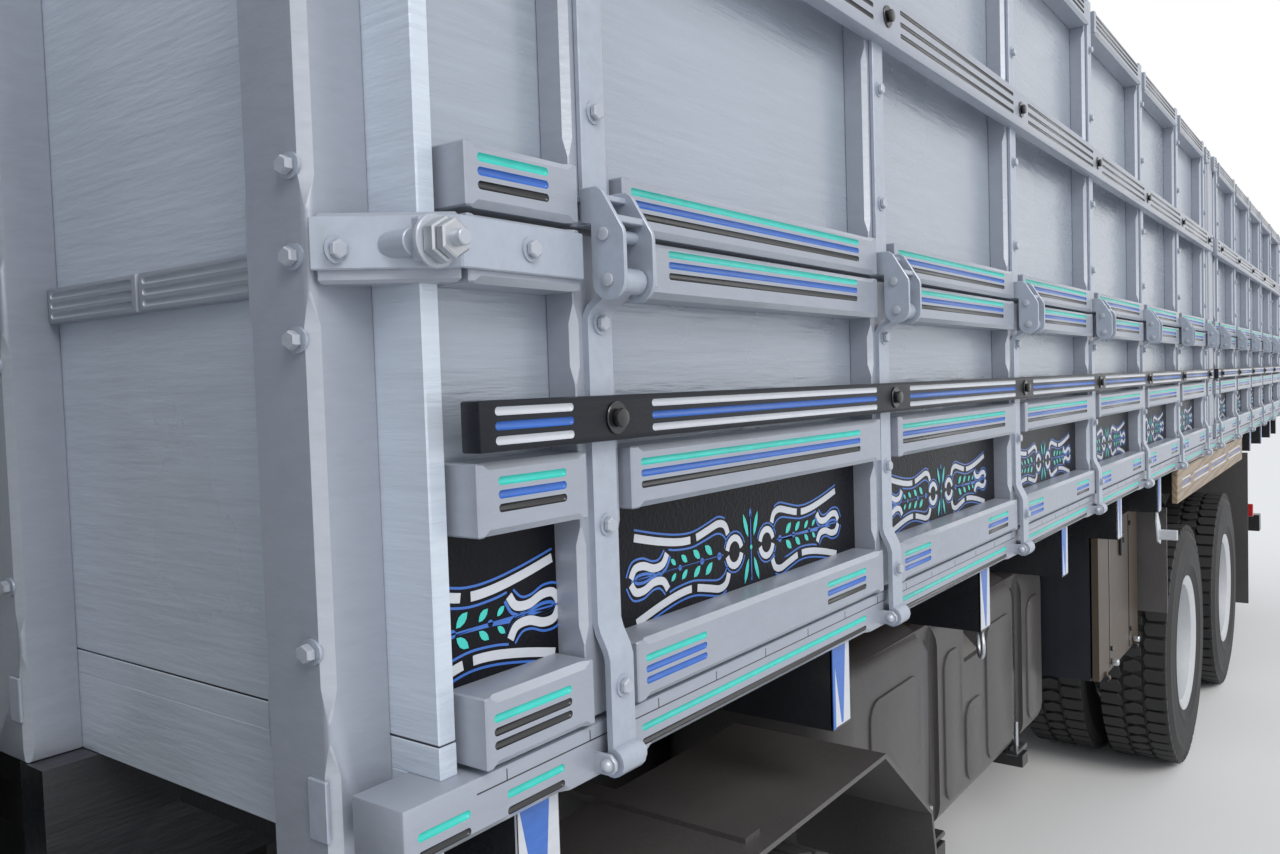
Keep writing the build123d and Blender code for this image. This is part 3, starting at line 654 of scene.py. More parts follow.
    @staticmethod
    def smooth(obj: Piece, degrees: float = 35.0) -> Piece:
        """Shade smooth, with edges sharper than the angle kept.

        Args:
            obj: The piece.
            degrees: Angle.

        Returns:
            The piece.
        """
        Bench.take(obj)
        bpy.ops.object.shade_smooth_by_angle(angle=math.radians(degrees))
        return obj


def mount(obj: Piece, body: str, slot: str, *nodes: str) -> None:
    """Hang a finished piece on its body and report it.

    Args:
        obj: The piece.
        body: Body that it moves with.
        slot: Material slot; not used.
        nodes: CAD nodes that it stands for.
    """
    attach(obj, body)
    if nodes:
        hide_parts(*nodes)
    LOG.info("%s: %d faces", obj.name, len(obj.data.polygons))


def band(path: Sequence[Point2], thick: float) -> list[Point2]:
    """Outline of a bent flat bar, from the line of its middle.

    Args:
        path: Points of the middle line.
        thick: Thickness of the bar.

    Returns:
        Closed outline.
    """
    sides: tuple[list[Point2], list[Point2]] = ([], [])
    for i, (x, y) in enumerate(path):
        before, after = Vector(path[max(i - 1, 0)]), Vector(path[min(i + 1, len(path) - 1)])
        a = (Vector((x, y)) - before).normalized() if i else (after - Vector((x, y))).normalized()
        b = (after - Vector((x, y))).normalized() if i < len(path) - 1 else a
        across = Vector((-(a.y + b.y), a.x + b.x)).normalized()
        reach = thick / 2 / max(across.dot(Vector((-a.y, a.x))), 0.5)
        sides[0].append((x + across.x * reach, y + across.y * reach))
        sides[1].append((x - across.x * reach, y - across.y * reach))
    return sides[0] + sides[1][::-1]


def arc(centre: Point2, radius: float, start: float, end: float, count: int) -> list[Point2]:
    """Points on an arc, from its start angle to its end angle in degrees."""
    angles = [math.radians(start + (end - start) * i / (count - 1)) for i in range(count)]
    return [(centre[0] + radius * math.cos(a), centre[1] + radius * math.sin(a)) for a in angles]


# Layout of the truck, in metres


@dataclass(frozen=True)
class Layout:
    """Where the truck's main lines are; stations run rearwards from the headboard's rear face."""

    head_x: float
    tail: float = 8.650
    half_wall: float = 1.225        # inner face of the side gates
    tail_half: float = 1.268        # half the width of the tail gates
    post_pitch: float = 0.7124
    first_post: float = 0.190
    rear_gap: float = 0.4388        # between the last strap of a front gate and the first of a rear gate
    gate_end: float = 0.145         # from a gate's end strap to its end
    gate_play: float = 0.012        # between a rear gate and the corner post
    corner_post: float = 0.110      # side of a corner post
    deck_half: float = 1.2367
    edge_stile: float = 0.032
    rim_low: float = 1.352
    rim_top: float = 1.406
    gate_low: float = 1.412
    lower_top: float = 1.894
    upper_low: float = 1.900
    upper_top: float = 2.713
    strap_tip: float = 2.730
    pin_z: float = 1.368
    link_z: float = 1.845
    ply: float = 0.015              # depths outwards from the inner face
    stile: float = 0.051
    strap: float = 0.058
    rail: float = 0.065
    guard: float = 0.075
    pin: float = 0.070
    link: float = 0.091

    def at(self, station: float) -> float:
        """X of a station, which is a distance behind the headboard."""
        return self.head_x - station

    @property
    def left(self) -> Matrix:
        """Wall space of the left side: X is the station, -Y is outwards."""
        return Matrix(((-1, 0, 0, self.head_x), (0, -1, 0, self.half_wall), (0, 0, 1, 0), (0, 0, 0, 1)))

    @property
    def right(self) -> Matrix:
        """Wall space of the right side, mirrored."""
        return Matrix(((-1, 0, 0, self.head_x), (0, 1, 0, -self.half_wall), (0, 0, 1, 0), (0, 0, 0, 1)))

    @property
    def rear(self) -> Matrix:
        """Wall space of the tail: X runs to the right side, -Y is outwards."""
        return Matrix(((0, 1, 0, self.at(self.tail)), (-1, 0, 0, 0), (0, 0, 1, 0), (0, 0, 0, 1)))

    @property
    def front_posts(self) -> list[float]:
        """Stations of the straps of a front gate."""
        return [self.first_post + self.post_pitch * i for i in range(7)]

    @property
    def rear_posts(self) -> list[float]:
        """Stations of the straps of a rear gate."""
        return [self.front_posts[-1] + self.rear_gap + self.post_pitch * i for i in range(6)]

    @property
    def tail_posts(self) -> list[float]:
        """Places of the straps across the tail."""
        return [self.post_pitch * (i - 1.5) for i in range(4)]


class Bay(Enum):
    """Kinds of stretches between two straps."""

    FIRST = "first"
    REGULAR = "regular"
    SHORT = "short"


@dataclass(frozen=True)
class Run:
    """One group of grooves on a rail: where it starts and ends, and its paints from the top."""

    start: float
    end: float
    paints: tuple[Groove, ...]


@dataclass(frozen=True)
class RailType:
    """A rail of a gate: its edges, its grooves in each kind of bay, and its paint."""

    low: float
    high: float
    top_groove: float
    first: tuple[Run, ...]
    regular: tuple[Run, ...]
    short: tuple[Groove, ...]
    pitch: float = 0.012

    def runs(self, bay: Bay, length: float) -> tuple[Run, ...]:
        """Groups of grooves of one stretch, measured from its start.

        Args:
            bay: Kind of stretch.
            length: Its length.

        Returns:
            The groups.
        """
        if bay is Bay.FIRST:
            return self.first
        if bay is Bay.REGULAR:
            return self.regular
        return (Run(0.016, length - 0.016, self.short),)


BOTTOM_RAIL = RailType(1.412, 1.476, 1.4560, (Run(0.009, 0.114, TKK),),
                       (Run(0.014, 0.133, TBB), Run(0.444, 0.575, TBK)), TBK)
MID_RAIL = RailType(1.615, 1.680, 1.6630, (Run(0.025, 0.117, TBK),), (Run(0.016, 0.565, TBK),), TBK)
TOP_RAIL = RailType(1.835, 1.894, 1.8840, (), (Run(0.078, 0.566, TBK),), TBK)
UPPER_BOTTOM_RAIL = RailType(1.900, 1.956, 1.9430, (Run(0.014, 0.106, TBK),), (Run(0.013, 0.575, TBK),), TBK)
UPPER_MID_RAIL = RailType(2.260, 2.335, 2.3180, (Run(0.014, 0.110, KKK),), (Run(0.013, 0.590, KKK),), KKK,
                          0.018)
UPPER_TOP_RAIL = RailType(2.655, 2.713, 2.6990, (Run(0.014, 0.110, KKK),), (Run(0.013, 0.590, KKK),), KKK,
                          0.013)


@dataclass
class Paintwork:
    """Painted pattern of a black panel: a cross between two rings, leaf sprigs, curls and wavy bands."""

    middle: float = 1.525           # height of its middle
    film: float = 0.00016           # half the thickness of the paint
    steps: int = 5

    def flow(self, points: Sequence[Point2]) -> list[Point2]:
        """Smooth line through points.

        Args:
            points: Points in millimetres.

        Returns:
            Closely spaced points in millimetres.
        """
        ends = [points[0], *points, points[-1]]
        line: list[Point2] = []
        for a, b, c, d in zip(ends, ends[1:], ends[2:], ends[3:]):
            for i in range(self.steps):
                t = i / self.steps
                line.append(tuple(0.5 * (2 * q + (r - p) * t + (2 * p - 5 * q + 4 * r - s) * t * t
                                         + (3 * q - p - 3 * r + s) * t ** 3)
                                  for p, q, r, s in zip(a, b, c, d)))
        return [*line, points[-1]]

    def stroke(self, points: Sequence[Point2], width: float, from_x: float = -1e9,
               raw: bool = False) -> list[Point2]:
        """Outline of a brush stroke, smoothed unless raw, and nothing where too little lies beyond from_x."""
        line = [p for p in (list(points) if raw else self.flow(points)) if p[0] > from_x]
        return band(line, width) if len(line) > 2 else []

    def leaf(self, x: float, y: float, length: float, width: float, lean: float) -> list[Point2]:
        """Outline of a pointed leaf.

        Args:
            x: Middle of the leaf.
            y: Its height.
            length: Length from tip to tip.
            width: Width at the middle.
            lean: Angle in degrees.

        Returns:
            Closed outline.
        """
        c, s = math.cos(math.radians(lean)), math.sin(math.radians(lean))
        side = [(-0.5, 0.0), (-0.3, 0.32), (-0.05, 0.5), (0.22, 0.42), (0.5, 0.0), (0.25, -0.36),
                (0.0, -0.46), (-0.28, -0.34)]
        return [(x + a * length * c - b * width * s, y + a * length * s + b * width * c) for a, b in side]

    def half(self, from_x: float) -> dict[Finish, list[list[Point2]]]:
        """Shapes of the right-hand upper quarter, and of its mirror image below.

        Args:
            from_x: What lies before this X is left out.

        Returns:
            Outlines of each paint, in millimetres from the middle.
        """
        wave = [(57, 25), (64, 37), (80, 41), (105, 36), (137, 30), (170, 31), (212, 38), (256, 48)]
        curl = [(193, 21), (202, 10), (220, 8), (240, 14), (256, 13), (264, 3)]
        upper: dict[Finish, list[list[Point2]]] = {WHITE: [], BLUE: [], TURQUOISE: []}
        line = self.flow(wave)
        upper[WHITE] += [self.stroke([p for p in line if p[0] < 135], 9.2, from_x, True),
                         self.stroke([p for p in line if p[0] > 139], 9.2, from_x, True)]
        upper[WHITE].append(self.stroke(curl, 9.2, from_x))
        upper[BLUE] += [self.stroke([(x, y + 9.0) for x, y in wave[1:]], 2.4, from_x),
                        self.stroke([(60, 14), (68, 24), (84, 29), (110, 25), (140, 20.5), (172, 22),
                                     (190, 25)], 2.4, from_x),
                        self.stroke([(187, 17), (196, 4), (212, -0.5), (236, 4.5), (252, 4), (258, 0)], 3.4,
                                    from_x),
                        self.stroke([(199, 26), (210, 17), (224, 17), (242, 23), (262, 21), (273, 6)], 2.4,
                                    from_x)]
        upper[TURQUOISE] += [self.leaf(x, y, size, 0.5 * size, 40.0) for x, y, size in
                             ((104, 11.5, 21), (131, 10.5, 19), (158, 9.5, 16), (181, 9.0, 13)) if x > from_x]
        if from_x < 0:
            rim = arc((42, 0), 18.0, 12, 168, 9)
            upper[WHITE].append(self.stroke(rim, 8.6, raw=True))
            upper[BLUE].append(self.stroke(arc((42, 0), 26.5, 18, 162, 9), 2.0, raw=True))
            upper[TURQUOISE].append(self.leaf(13, 30, 34, 8.5, 70.0))
        both = {paint: [s for s in shapes if s] for paint, shapes in upper.items()}
        return {paint: shapes + [[(x, -y) for x, y in s][::-1] for s in shapes]
                for paint, shapes in both.items()}

    def buds(self, from_x: float) -> list[list[Point2]]:
        """Stem and buds on the right-hand side.

        Args:
            from_x: What lies before this X is left out.

        Returns:
            Outlines in millimetres.
        """
        spots = [(79, 0, 5.0), (119, 0, 4.2), (167, 0, 3.6)]
        dots = [arc((x, y), r, 0, 330, 12) for x, y, r in spots if x > from_x]
        stem = [(max(70.0, from_x), 0.0), (150.0, 0.0), (264.0, 0.0)]
        return [*dots, band(stem, 1.8)]

    def panel(self, name: str, from_x: float = -1e9) -> Piece:
        """Paint films of one panel, with their middle at X 0 and their back at Y 0.

        Args:
            name: Name of the piece.
            from_x: What lies before this X in millimetres is left out; 0 and less gives both halves.

        Returns:
            The joined films.
        """
        shapes = self.half(from_x)
        shapes[BLUE] += self.buds(from_x)
        if from_x < 0:
            shapes = {paint: found + [[(-x, y) for x, y in s][::-1] for s in found]
                      for paint, found in shapes.items()}
            shapes[BLUE] += [band([(0, -44), (0, 0), (0, 44)], 2.0), self.leaf(0, 45, 15, 6.5, 90.0),
                             self.leaf(0, -45, 15, 6.5, 90.0)]
            shapes[TURQUOISE].append(arc((0, 0), 3.0, 0, 330, 12))
        films = []
        for layer, (paint, outlines) in enumerate(shapes.items()):
            curve = bpy.data.curves.new("film", "CURVE")
            curve.dimensions, curve.fill_mode = "2D", "BOTH"
            curve.extrude = self.film
            for outline in outlines:
                spline = curve.splines.new("POLY")
                spline.points.add(len(outline) - 1)
                spline.use_cyclic_u = True
                for point, (x, y) in zip(spline.points, outline):
                    point.co = (x / 1000, y / 1000, 0.0, 1.0)
            film = bpy.data.objects.new("film", curve)
            bpy.context.scene.collection.objects.link(film)
            Bench.take(film)
            bpy.ops.object.convert(target="MESH")
            film = bpy.context.object
            out = self.film * (1.0 + layer)
            film.data.transform(Matrix(((1, 0, 0, 0), (0, 0, -1, -out), (0, 1, 0, self.middle),
                                        (0, 0, 0, 1))))
            films.append(Bench.settle(film, "film", paint))
        return Bench.join(name, films)


@dataclass
class Ironwork:
    """Bolts, straps and link hinges, modelled once and copied."""

    size: Layout
    strap_width: float = 0.038
    strap_thick: float = 0.007
    pin_radius: float = 0.0072
    stock: dict[str, Piece] = field(default_factory=dict)

    def piece(self, kind: str) -> Piece:
        """The pattern piece of a kind, modelled at its first use.

        Args:
            kind: Name of one of the methods below.

        Returns:
            The pattern piece.
        """
        if kind not in self.stock:
            self.stock[kind] = getattr(self, kind)()
        return self.stock[kind]

    def put(self, kind: str, spot: Point3) -> Piece:
        """Copy of a pattern piece, with its foot at a spot of wall space."""
        return Bench.copy(self.piece(kind), spot)

    def clear(self) -> None:
        """Delete the pattern pieces."""
        Bench.drop(self.stock.values())
        self.stock.clear()

    def bolt(self) -> Piece:
        """Hexagon bolt on a washer, painted over."""
        washer = Bench.rod("washer", (0, 0, 0), (0, -0.002, 0), 0.0115, SILVER_IRON, 16)
        # The head is the lighter silver of the painted highlight.
        head = Bench.rod("head", (0, -0.002, 0), (0, -0.0085, 0), 0.0082, SILVER_HIGHLIGHT, 6, 0.0012)
        return Bench.smooth(Bench.join("bolt", [washer, head]))

    def guard_bolt(self) -> Piece:
        """Black cup-head bolt on a wide washer."""
        washer = Bench.rod("washer", (0, 0, 0), (0, -0.0025, 0), 0.0165, BLACK, 18, 0.0008)
        head = Bench.rod("head", (0, -0.0025, 0), (0, -0.0105, 0), 0.0098, BLACK, 14, 0.003, 2)
        return Bench.smooth(Bench.join("guard_bolt", [washer, head]))

    def foot(self) -> Piece:
        """Lower strap: it steps out over the bottom rail and curls round the hinge pin."""
        flat, out, mid = 0.0545, 0.0687, self.size.pin
        path = [(flat, 1.79), (flat, 1.506), (flat + 0.003, 1.496), (out - 0.003, 1.480), (out, 1.470),
                (out, 1.400)]
        path += arc((mid, self.size.pin_z), 0.0115, 95, -205, 13)
        outline = [(-d, z) for d, z in band(path, self.strap_thick)]
        half = self.strap_width / 2
        strap = Bench.prism("strap", outline, -half, half, SILVER_IRON)
        return Bench.smooth(strap, 40)

    def tongue(self) -> Piece:
        """Upper end of a lower strap, curled round the pin of the link plates."""
        mid = self.size.link
        path = [(0.0545, 1.79), (0.0545, 1.812), (0.060, 1.821), (0.072, 1.829)]
        path += arc((mid, self.size.link_z), 0.0095, -130, 175, 13)
        outline = [(-d, z) for d, z in band(path, self.strap_thick)]
        half = self.strap_width / 2
        return Bench.smooth(Bench.prism("tongue", outline, -half, half, SILVER_IRON), 40)

    def upper_strap(self) -> Piece:
        """Strap of an upper gate."""
        half = self.strap_width / 2
        s = self.size
        return Bench.block("upper_strap", (-half, -s.strap, 1.902), (half, -s.stile, s.strap_tip),
                           SILVER_IRON, 0.0012)

    def link(self) -> Piece:
        """Two link plates with their pin, rod, shelf and rivets."""
        d, low = self.size.link, self.size.link_z
        shape = [(0.059, 1.936), (0.079, 1.936), (0.086, 1.931), (0.110, 1.892), (0.111, 1.886)]
        shape += [*arc((d, low), 0.020, 0, -180, 11), (0.071, 1.900), (0.059, 1.902)]
        outline = [(-x, z) for x, z in shape]
        inner = self.strap_width / 2 + 0.002
        parts = []
        for start, end in ((inner, inner + 0.005), (-inner - 0.005, -inner)):
            parts.append(Bench.prism("plate", outline, start, end, SILVER_IRON, bevel=0.0008))
        for side in (1, -1):
            for z, out in ((low, d), (1.889, d - 0.004)):
                face = side * (inner + 0.005)
                # Rivets are the lighter silver of the painted highlight.
                parts.append(Bench.rod("rivet", (face, -out, z), (face + side * 0.003, -out, z), 0.0068,
                                       SILVER_HIGHLIGHT, 14, 0.0014, 2))
        span = inner + 0.001
        parts.append(Bench.rod("link_pin", (-span, -d, low), (span, -d, low), 0.0058, ZINC, 14))
        parts.append(Bench.rod("link_rod", (-span, -(d - 0.004), 1.889), (span, -(d - 0.004), 1.889), 0.0066,
                               SILVER_IRON, 14))
        parts.append(Bench.block("shelf", (-span, -0.100, 1.900), (span, -0.050, 1.907), SILVER_IRON, 0.001))
        parts.append(Bench.block("nose", (-span, -0.079, 1.924), (span, -0.050, 1.930), SILVER_IRON, 0.001))
        return Bench.smooth(Bench.join("link", parts), 35)

    def pin(self) -> Piece:
        """Hinge pin with round ends, held by two bent lugs on the rim timber."""
        spot, z = self.size.pin, self.size.pin_z
        # Pin and lugs are the lighter silver of the painted highlight.
        pin = Bench.capsule("pin", (-0.034, -spot, z), (0.034, -spot, z), self.pin_radius, SILVER_HIGHLIGHT, 14)
        parts = [pin]
        for side in (1, -1):
            a = side * 0.0245
            lug = [(-0.053, z - 0.0105), (-(spot + 0.004), z - 0.0105), (-(spot + 0.0105), z - 0.004),
                   (-(spot + 0.0105), z + 0.004), (-(spot + 0.004), z + 0.0105), (-0.053, z + 0.0105)]
            parts.append(Bench.prism("lug", lug, a - 0.0025, a + 0.0025, SILVER_HIGHLIGHT, bevel=0.0008))
        return Bench.smooth(Bench.join("pin", parts), 40)

    def rail_plate(self) -> Piece:
        """Small plate with a bolt at the start of a top rail."""
        plate = Bench.block("plate", (0.0, -0.0665, 1.846), (0.044, -0.0645, 1.886), SILVER_IRON, 0.0008)
        bolt = Bench.copy(self.piece("bolt"), (0.024, -0.0665, 1.867))
        return Bench.join("rail_plate", [plate, bolt])


@dataclass
class Woodwork:
    """Rails and stiles of the gates: chamfered, and routed with painted grooves."""

    size: Layout
    groove: float = 0.0042          # radius of a groove
    sunk: float = 0.0030            # its depth
    chamfer: float = 0.0065
    stock: dict[tuple, Piece] = field(default_factory=dict)

    def grooves(self, rail: RailType, runs: Sequence[Run], face: float) -> list[Piece]:
        """Cutters of the grooves of one rail.

        Args:
            rail: The rail.
            runs: Groups of grooves.
            face: Depth of the rail's face.

        Returns:
            The cutters.
        """
        found = []
        for run in runs:
            for i, paint in enumerate(run.paints):
                z, y = rail.top_groove - i * rail.pitch, -(face + self.groove - self.sunk)
                found.append(Bench.capsule("groove", (run.start, y, z), (run.end, y, z), self.groove,
                                           paint.value))
        return found

    def splinter(self, start: Point3, end: Point3, width: float, point: float = 0.022) -> Piece:
        """Four-sided cutter with pointed ends, for a stopped chamfer along an edge.

        Args:
            start: One end on the edge.
            end: The other end.
            width: Leg of the chamfer.
            point: Length of the pointed ends.

        Returns:
            The cutter.
        """
        a, b = Vector(start), Vector(end)
        along = (b - a).normalized() * point
        # The cutter's lighter silver passes to the cut chamfer faces as a painted highlight.
        bar = Bench.rod("splinter", tuple(a + along), tuple(b - along), width, SILVER_HIGHLIGHT, 4)
        for tip, inner in ((a, a + along), (b, b - along)):
            with Bench.editing(bar, "FACE") as mesh:
                bpy.ops.mesh.select_all(action="DESELECT")
                for cap in mesh.faces:
                    cap.select_set((cap.calc_center_median() - inner).length < 1e-4)
                bmesh.update_edit_mesh(bar.data)
                bpy.ops.mesh.extrude_region_move(TRANSFORM_OT_translate={"value": tuple(tip - inner)})
                bpy.ops.mesh.merge(type="CENTER")
        return bar

    def rail(self, rail: RailType, bay: Bay, length: float) -> Piece:
        """One stretch of rail from X 0, with its chamfers and grooves.

        Args:
            rail: The rail.
            bay: Kind of stretch.
            length: Its length.

        Returns:
            A pattern piece.
        """
        key = (rail, bay, round(length, 4))
        if key not in self.stock:
            face = self.size.rail
            made = Bench.block("rail", (0.0, -face, rail.low), (length, -self.size.ply, rail.high), SILVER,
                               0.0016)
            inset = 0.010 if bay is Bay.REGULAR else 0.004
            cutters = self.grooves(rail, rail.runs(bay, length), face)
            for z in (rail.low, rail.high):
                cutters.append(self.splinter((inset, -face, z), (length - inset, -face, z), self.chamfer,
                                             0.010))
            self.stock[key] = Bench.smooth(Bench.cut(made, cutters), 30)
        return self.stock[key]

    def stile(self, low: float, high: float, breaks: Sequence[tuple[float, float]]) -> Piece:
        """Upright between two bays, about X 0, with stopped chamfers between the rails.

        Args:
            low: Foot.
            high: Top.
            breaks: Stretches that are chamfered.

        Returns:
            A pattern piece.
        """
        key = ("stile", low, high)
        if key not in self.stock:
            half, face = 0.032, self.size.stile
            made = Bench.block("stile", (-half, -face, low), (half, -self.size.ply, high), SILVER, 0.0012)
            cutters = [self.splinter((x, -face, a), (x, -face, b), 0.007)
                       for x in (-half, half) for a, b in breaks]
            self.stock[key] = Bench.smooth(Bench.cut(made, cutters), 30)
        return self.stock[key]

    def clear(self) -> None:
        """Delete the pattern pieces."""
        Bench.drop(self.stock.values())
        self.stock.clear()


@dataclass
class Gate:
    """One length of a side or of the tail: boards, stiles, rails, guard and ironwork of one storey."""

    size: Layout
    wood: Woodwork
    iron: Ironwork
    posts: Sequence[float]
    start: float
    end: float
    first_bay: bool = False
    clear_of_strap: float = 0.036

    def bays(self) -> list[tuple[float, float, Bay]]:
        """Stretches between the straps.

        Returns:
            Start, end and kind of each.
        """
        gap = self.clear_of_strap
        edges = [self.start, *(e for p in self.posts for e in (p - gap, p + gap)), self.end]
        found = list(zip(edges[::2], edges[1::2]))
        kinds = [Bay.SHORT, *[Bay.REGULAR] * (len(found) - 2), Bay.SHORT]
        if self.first_bay:
            kinds[0] = Bay.FIRST
        return [(a, b, kind) for (a, b), kind in zip(found, kinds)]

    def shared(self, low: float, high: float, rails: Sequence[RailType],
               breaks: Sequence[tuple[float, float]]) -> list[Piece]:
        """Boards, stiles and rails.

        Args:
            low: Foot of the gate.
            high: Its top.
            rails: Rails between the straps.
            breaks: Chamfered stretches of the stiles.

        Returns:
            The pieces in wall space.
        """
        ply = self.size.ply
        # The plywood takes the lighter silver of the painted sheen.
        parts = [Bench.block("ply", (self.start, -ply, low), (self.end, 0.0, high), SILVER_PLY_PAINTED_SHEEN, 0.0018)]
        stile = self.wood.stile(low, high, breaks)
        parts += [Bench.copy(stile, (p, 0.0, 0.0)) for p in self.posts]
        wide = self.size.edge_stile
        edges = [(self.end - wide, self.end)]
        if not self.first_bay:
            edges.append((self.start, self.start + wide))
        parts += [Bench.block("edge_stile", (a, -self.size.stile, low), (b, -ply, high), SILVER, 0.003)
                  for a, b in edges]
        for rail in rails:
            for a, b, kind in self.bays():
                parts.append(Bench.copy(self.wood.rail(rail, kind, b - a), (a, 0.0, 0.0)))
        return parts

    def lower(self, name: str) -> Piece:
        """The lower gate.

        Args:
            name: Name of the piece.

        Returns:
            The joined gate in wall space.
        """
        s = self.size
        parts = self.shared(s.gate_low, s.lower_top, (BOTTOM_RAIL, MID_RAIL, TOP_RAIL),
                            ((1.484, 1.608), (1.742, 1.828)))
        parts += self.panels()
        parts.append(self.guard())
        for post in self.posts:
            parts += [self.iron.put(kind, (post, 0.0, 0.0)) for kind in ("foot", "tongue")]
            parts += [self.iron.put("bolt", (post, y, z)) for y, z in
                      ((-s.strap, 1.806), (-s.strap, 1.604), (-0.0722, 1.442))]
            parts.append(self.iron.put("guard_bolt", (post, -s.guard, 1.7115)))
        parts += [self.iron.put("rail_plate", (a + 0.010, 0.0, 0.0))
                  for a, _, kind in self.bays() if kind is Bay.REGULAR]
        return Bench.join(name, parts)

    def panels(self) -> list[Piece]:
        """Black panels between the bottom rail and the middle rail, with their painted pattern.

        Returns:
            The panels.
        """
        found = []
        work, skin, gap = Paintwork(), self.size.ply + 0.0012, 0.004
        whole = work.panel("pattern")
        part = work.panel("part_pattern", 107.0)
        for a, b, kind in self.bays():
            low, high = (a - gap if kind is not Bay.FIRST else self.start + 0.001), b + gap
            found.append(Bench.block("panel", (low, -skin, 1.470), (high, -self.size.ply + 0.001, 1.622),
                                     PANEL_BLACK, 0.0004))
            if kind is Bay.REGULAR:
                found.append(Bench.copy(whole, ((a + b) / 2, -skin, 0.0)))
            elif kind is Bay.FIRST:
                found.append(Bench.copy(part, (-0.104, -skin, 0.0)))
        Bench.drop([whole, part])
        return found

    def guard(self) -> Piece:
        """Black guard rail over the straps, with white and blue grooves.

        Returns:
            The rail.
        """
        s = self.size
        low, high = 1.689, 1.734
        bar = Bench.block("guard", (self.start - 0.004 * self.first_bay, -s.guard, low),
                          (self.end, -s.stile, high), GUARD_BLACK, 0.0022, 2)
        runs = []
        for a, b, kind in self.bays():
            if kind is Bay.REGULAR:
                runs.append(Run(a + 0.025, b - 0.034, WBW))
            else:
                runs.append(Run(a + 0.014, b - 0.029, WBW))
        rail = RailType(low, high, 1.7245, (), (), WBW, 0.0128)
        cutters = self.wood.grooves(rail, runs, s.guard)
        return Bench.smooth(Bench.cut(bar, cutters), 30)

    def upper(self, name: str) -> Piece:
        """The upper gate.

        Args:
            name: Name of the piece.

        Returns:
            The joined gate in wall space.
        """
        s = self.size
        parts = self.shared(s.upper_low, s.upper_top, (UPPER_BOTTOM_RAIL, UPPER_TOP_RAIL),
                            ((1.964, 2.252), (2.343, 2.648)))
        low, high = UPPER_MID_RAIL.low, UPPER_MID_RAIL.high
        bar = Bench.block("mid_rail", (self.start, -s.guard, low), (self.end, -s.stile, high), SILVER, 0.002,
                          2)
        runs = [Run(a + 0.016, b - 0.016, KKK) for a, b, _ in self.bays()]
        parts.append(Bench.smooth(Bench.cut(bar, self.wood.grooves(UPPER_MID_RAIL, runs, s.guard)), 30))
        for post in self.posts:
            parts += [self.iron.put(kind, (post, 0.0, 0.0)) for kind in ("upper_strap", "link")]
            parts += [self.iron.put("bolt", (post, -s.strap, z)) for z in (2.014, 2.19, 2.42, 2.60)]
            parts.append(self.iron.put("guard_bolt", (post, -s.guard, (low + high) / 2)))
        return Bench.join(name, parts)


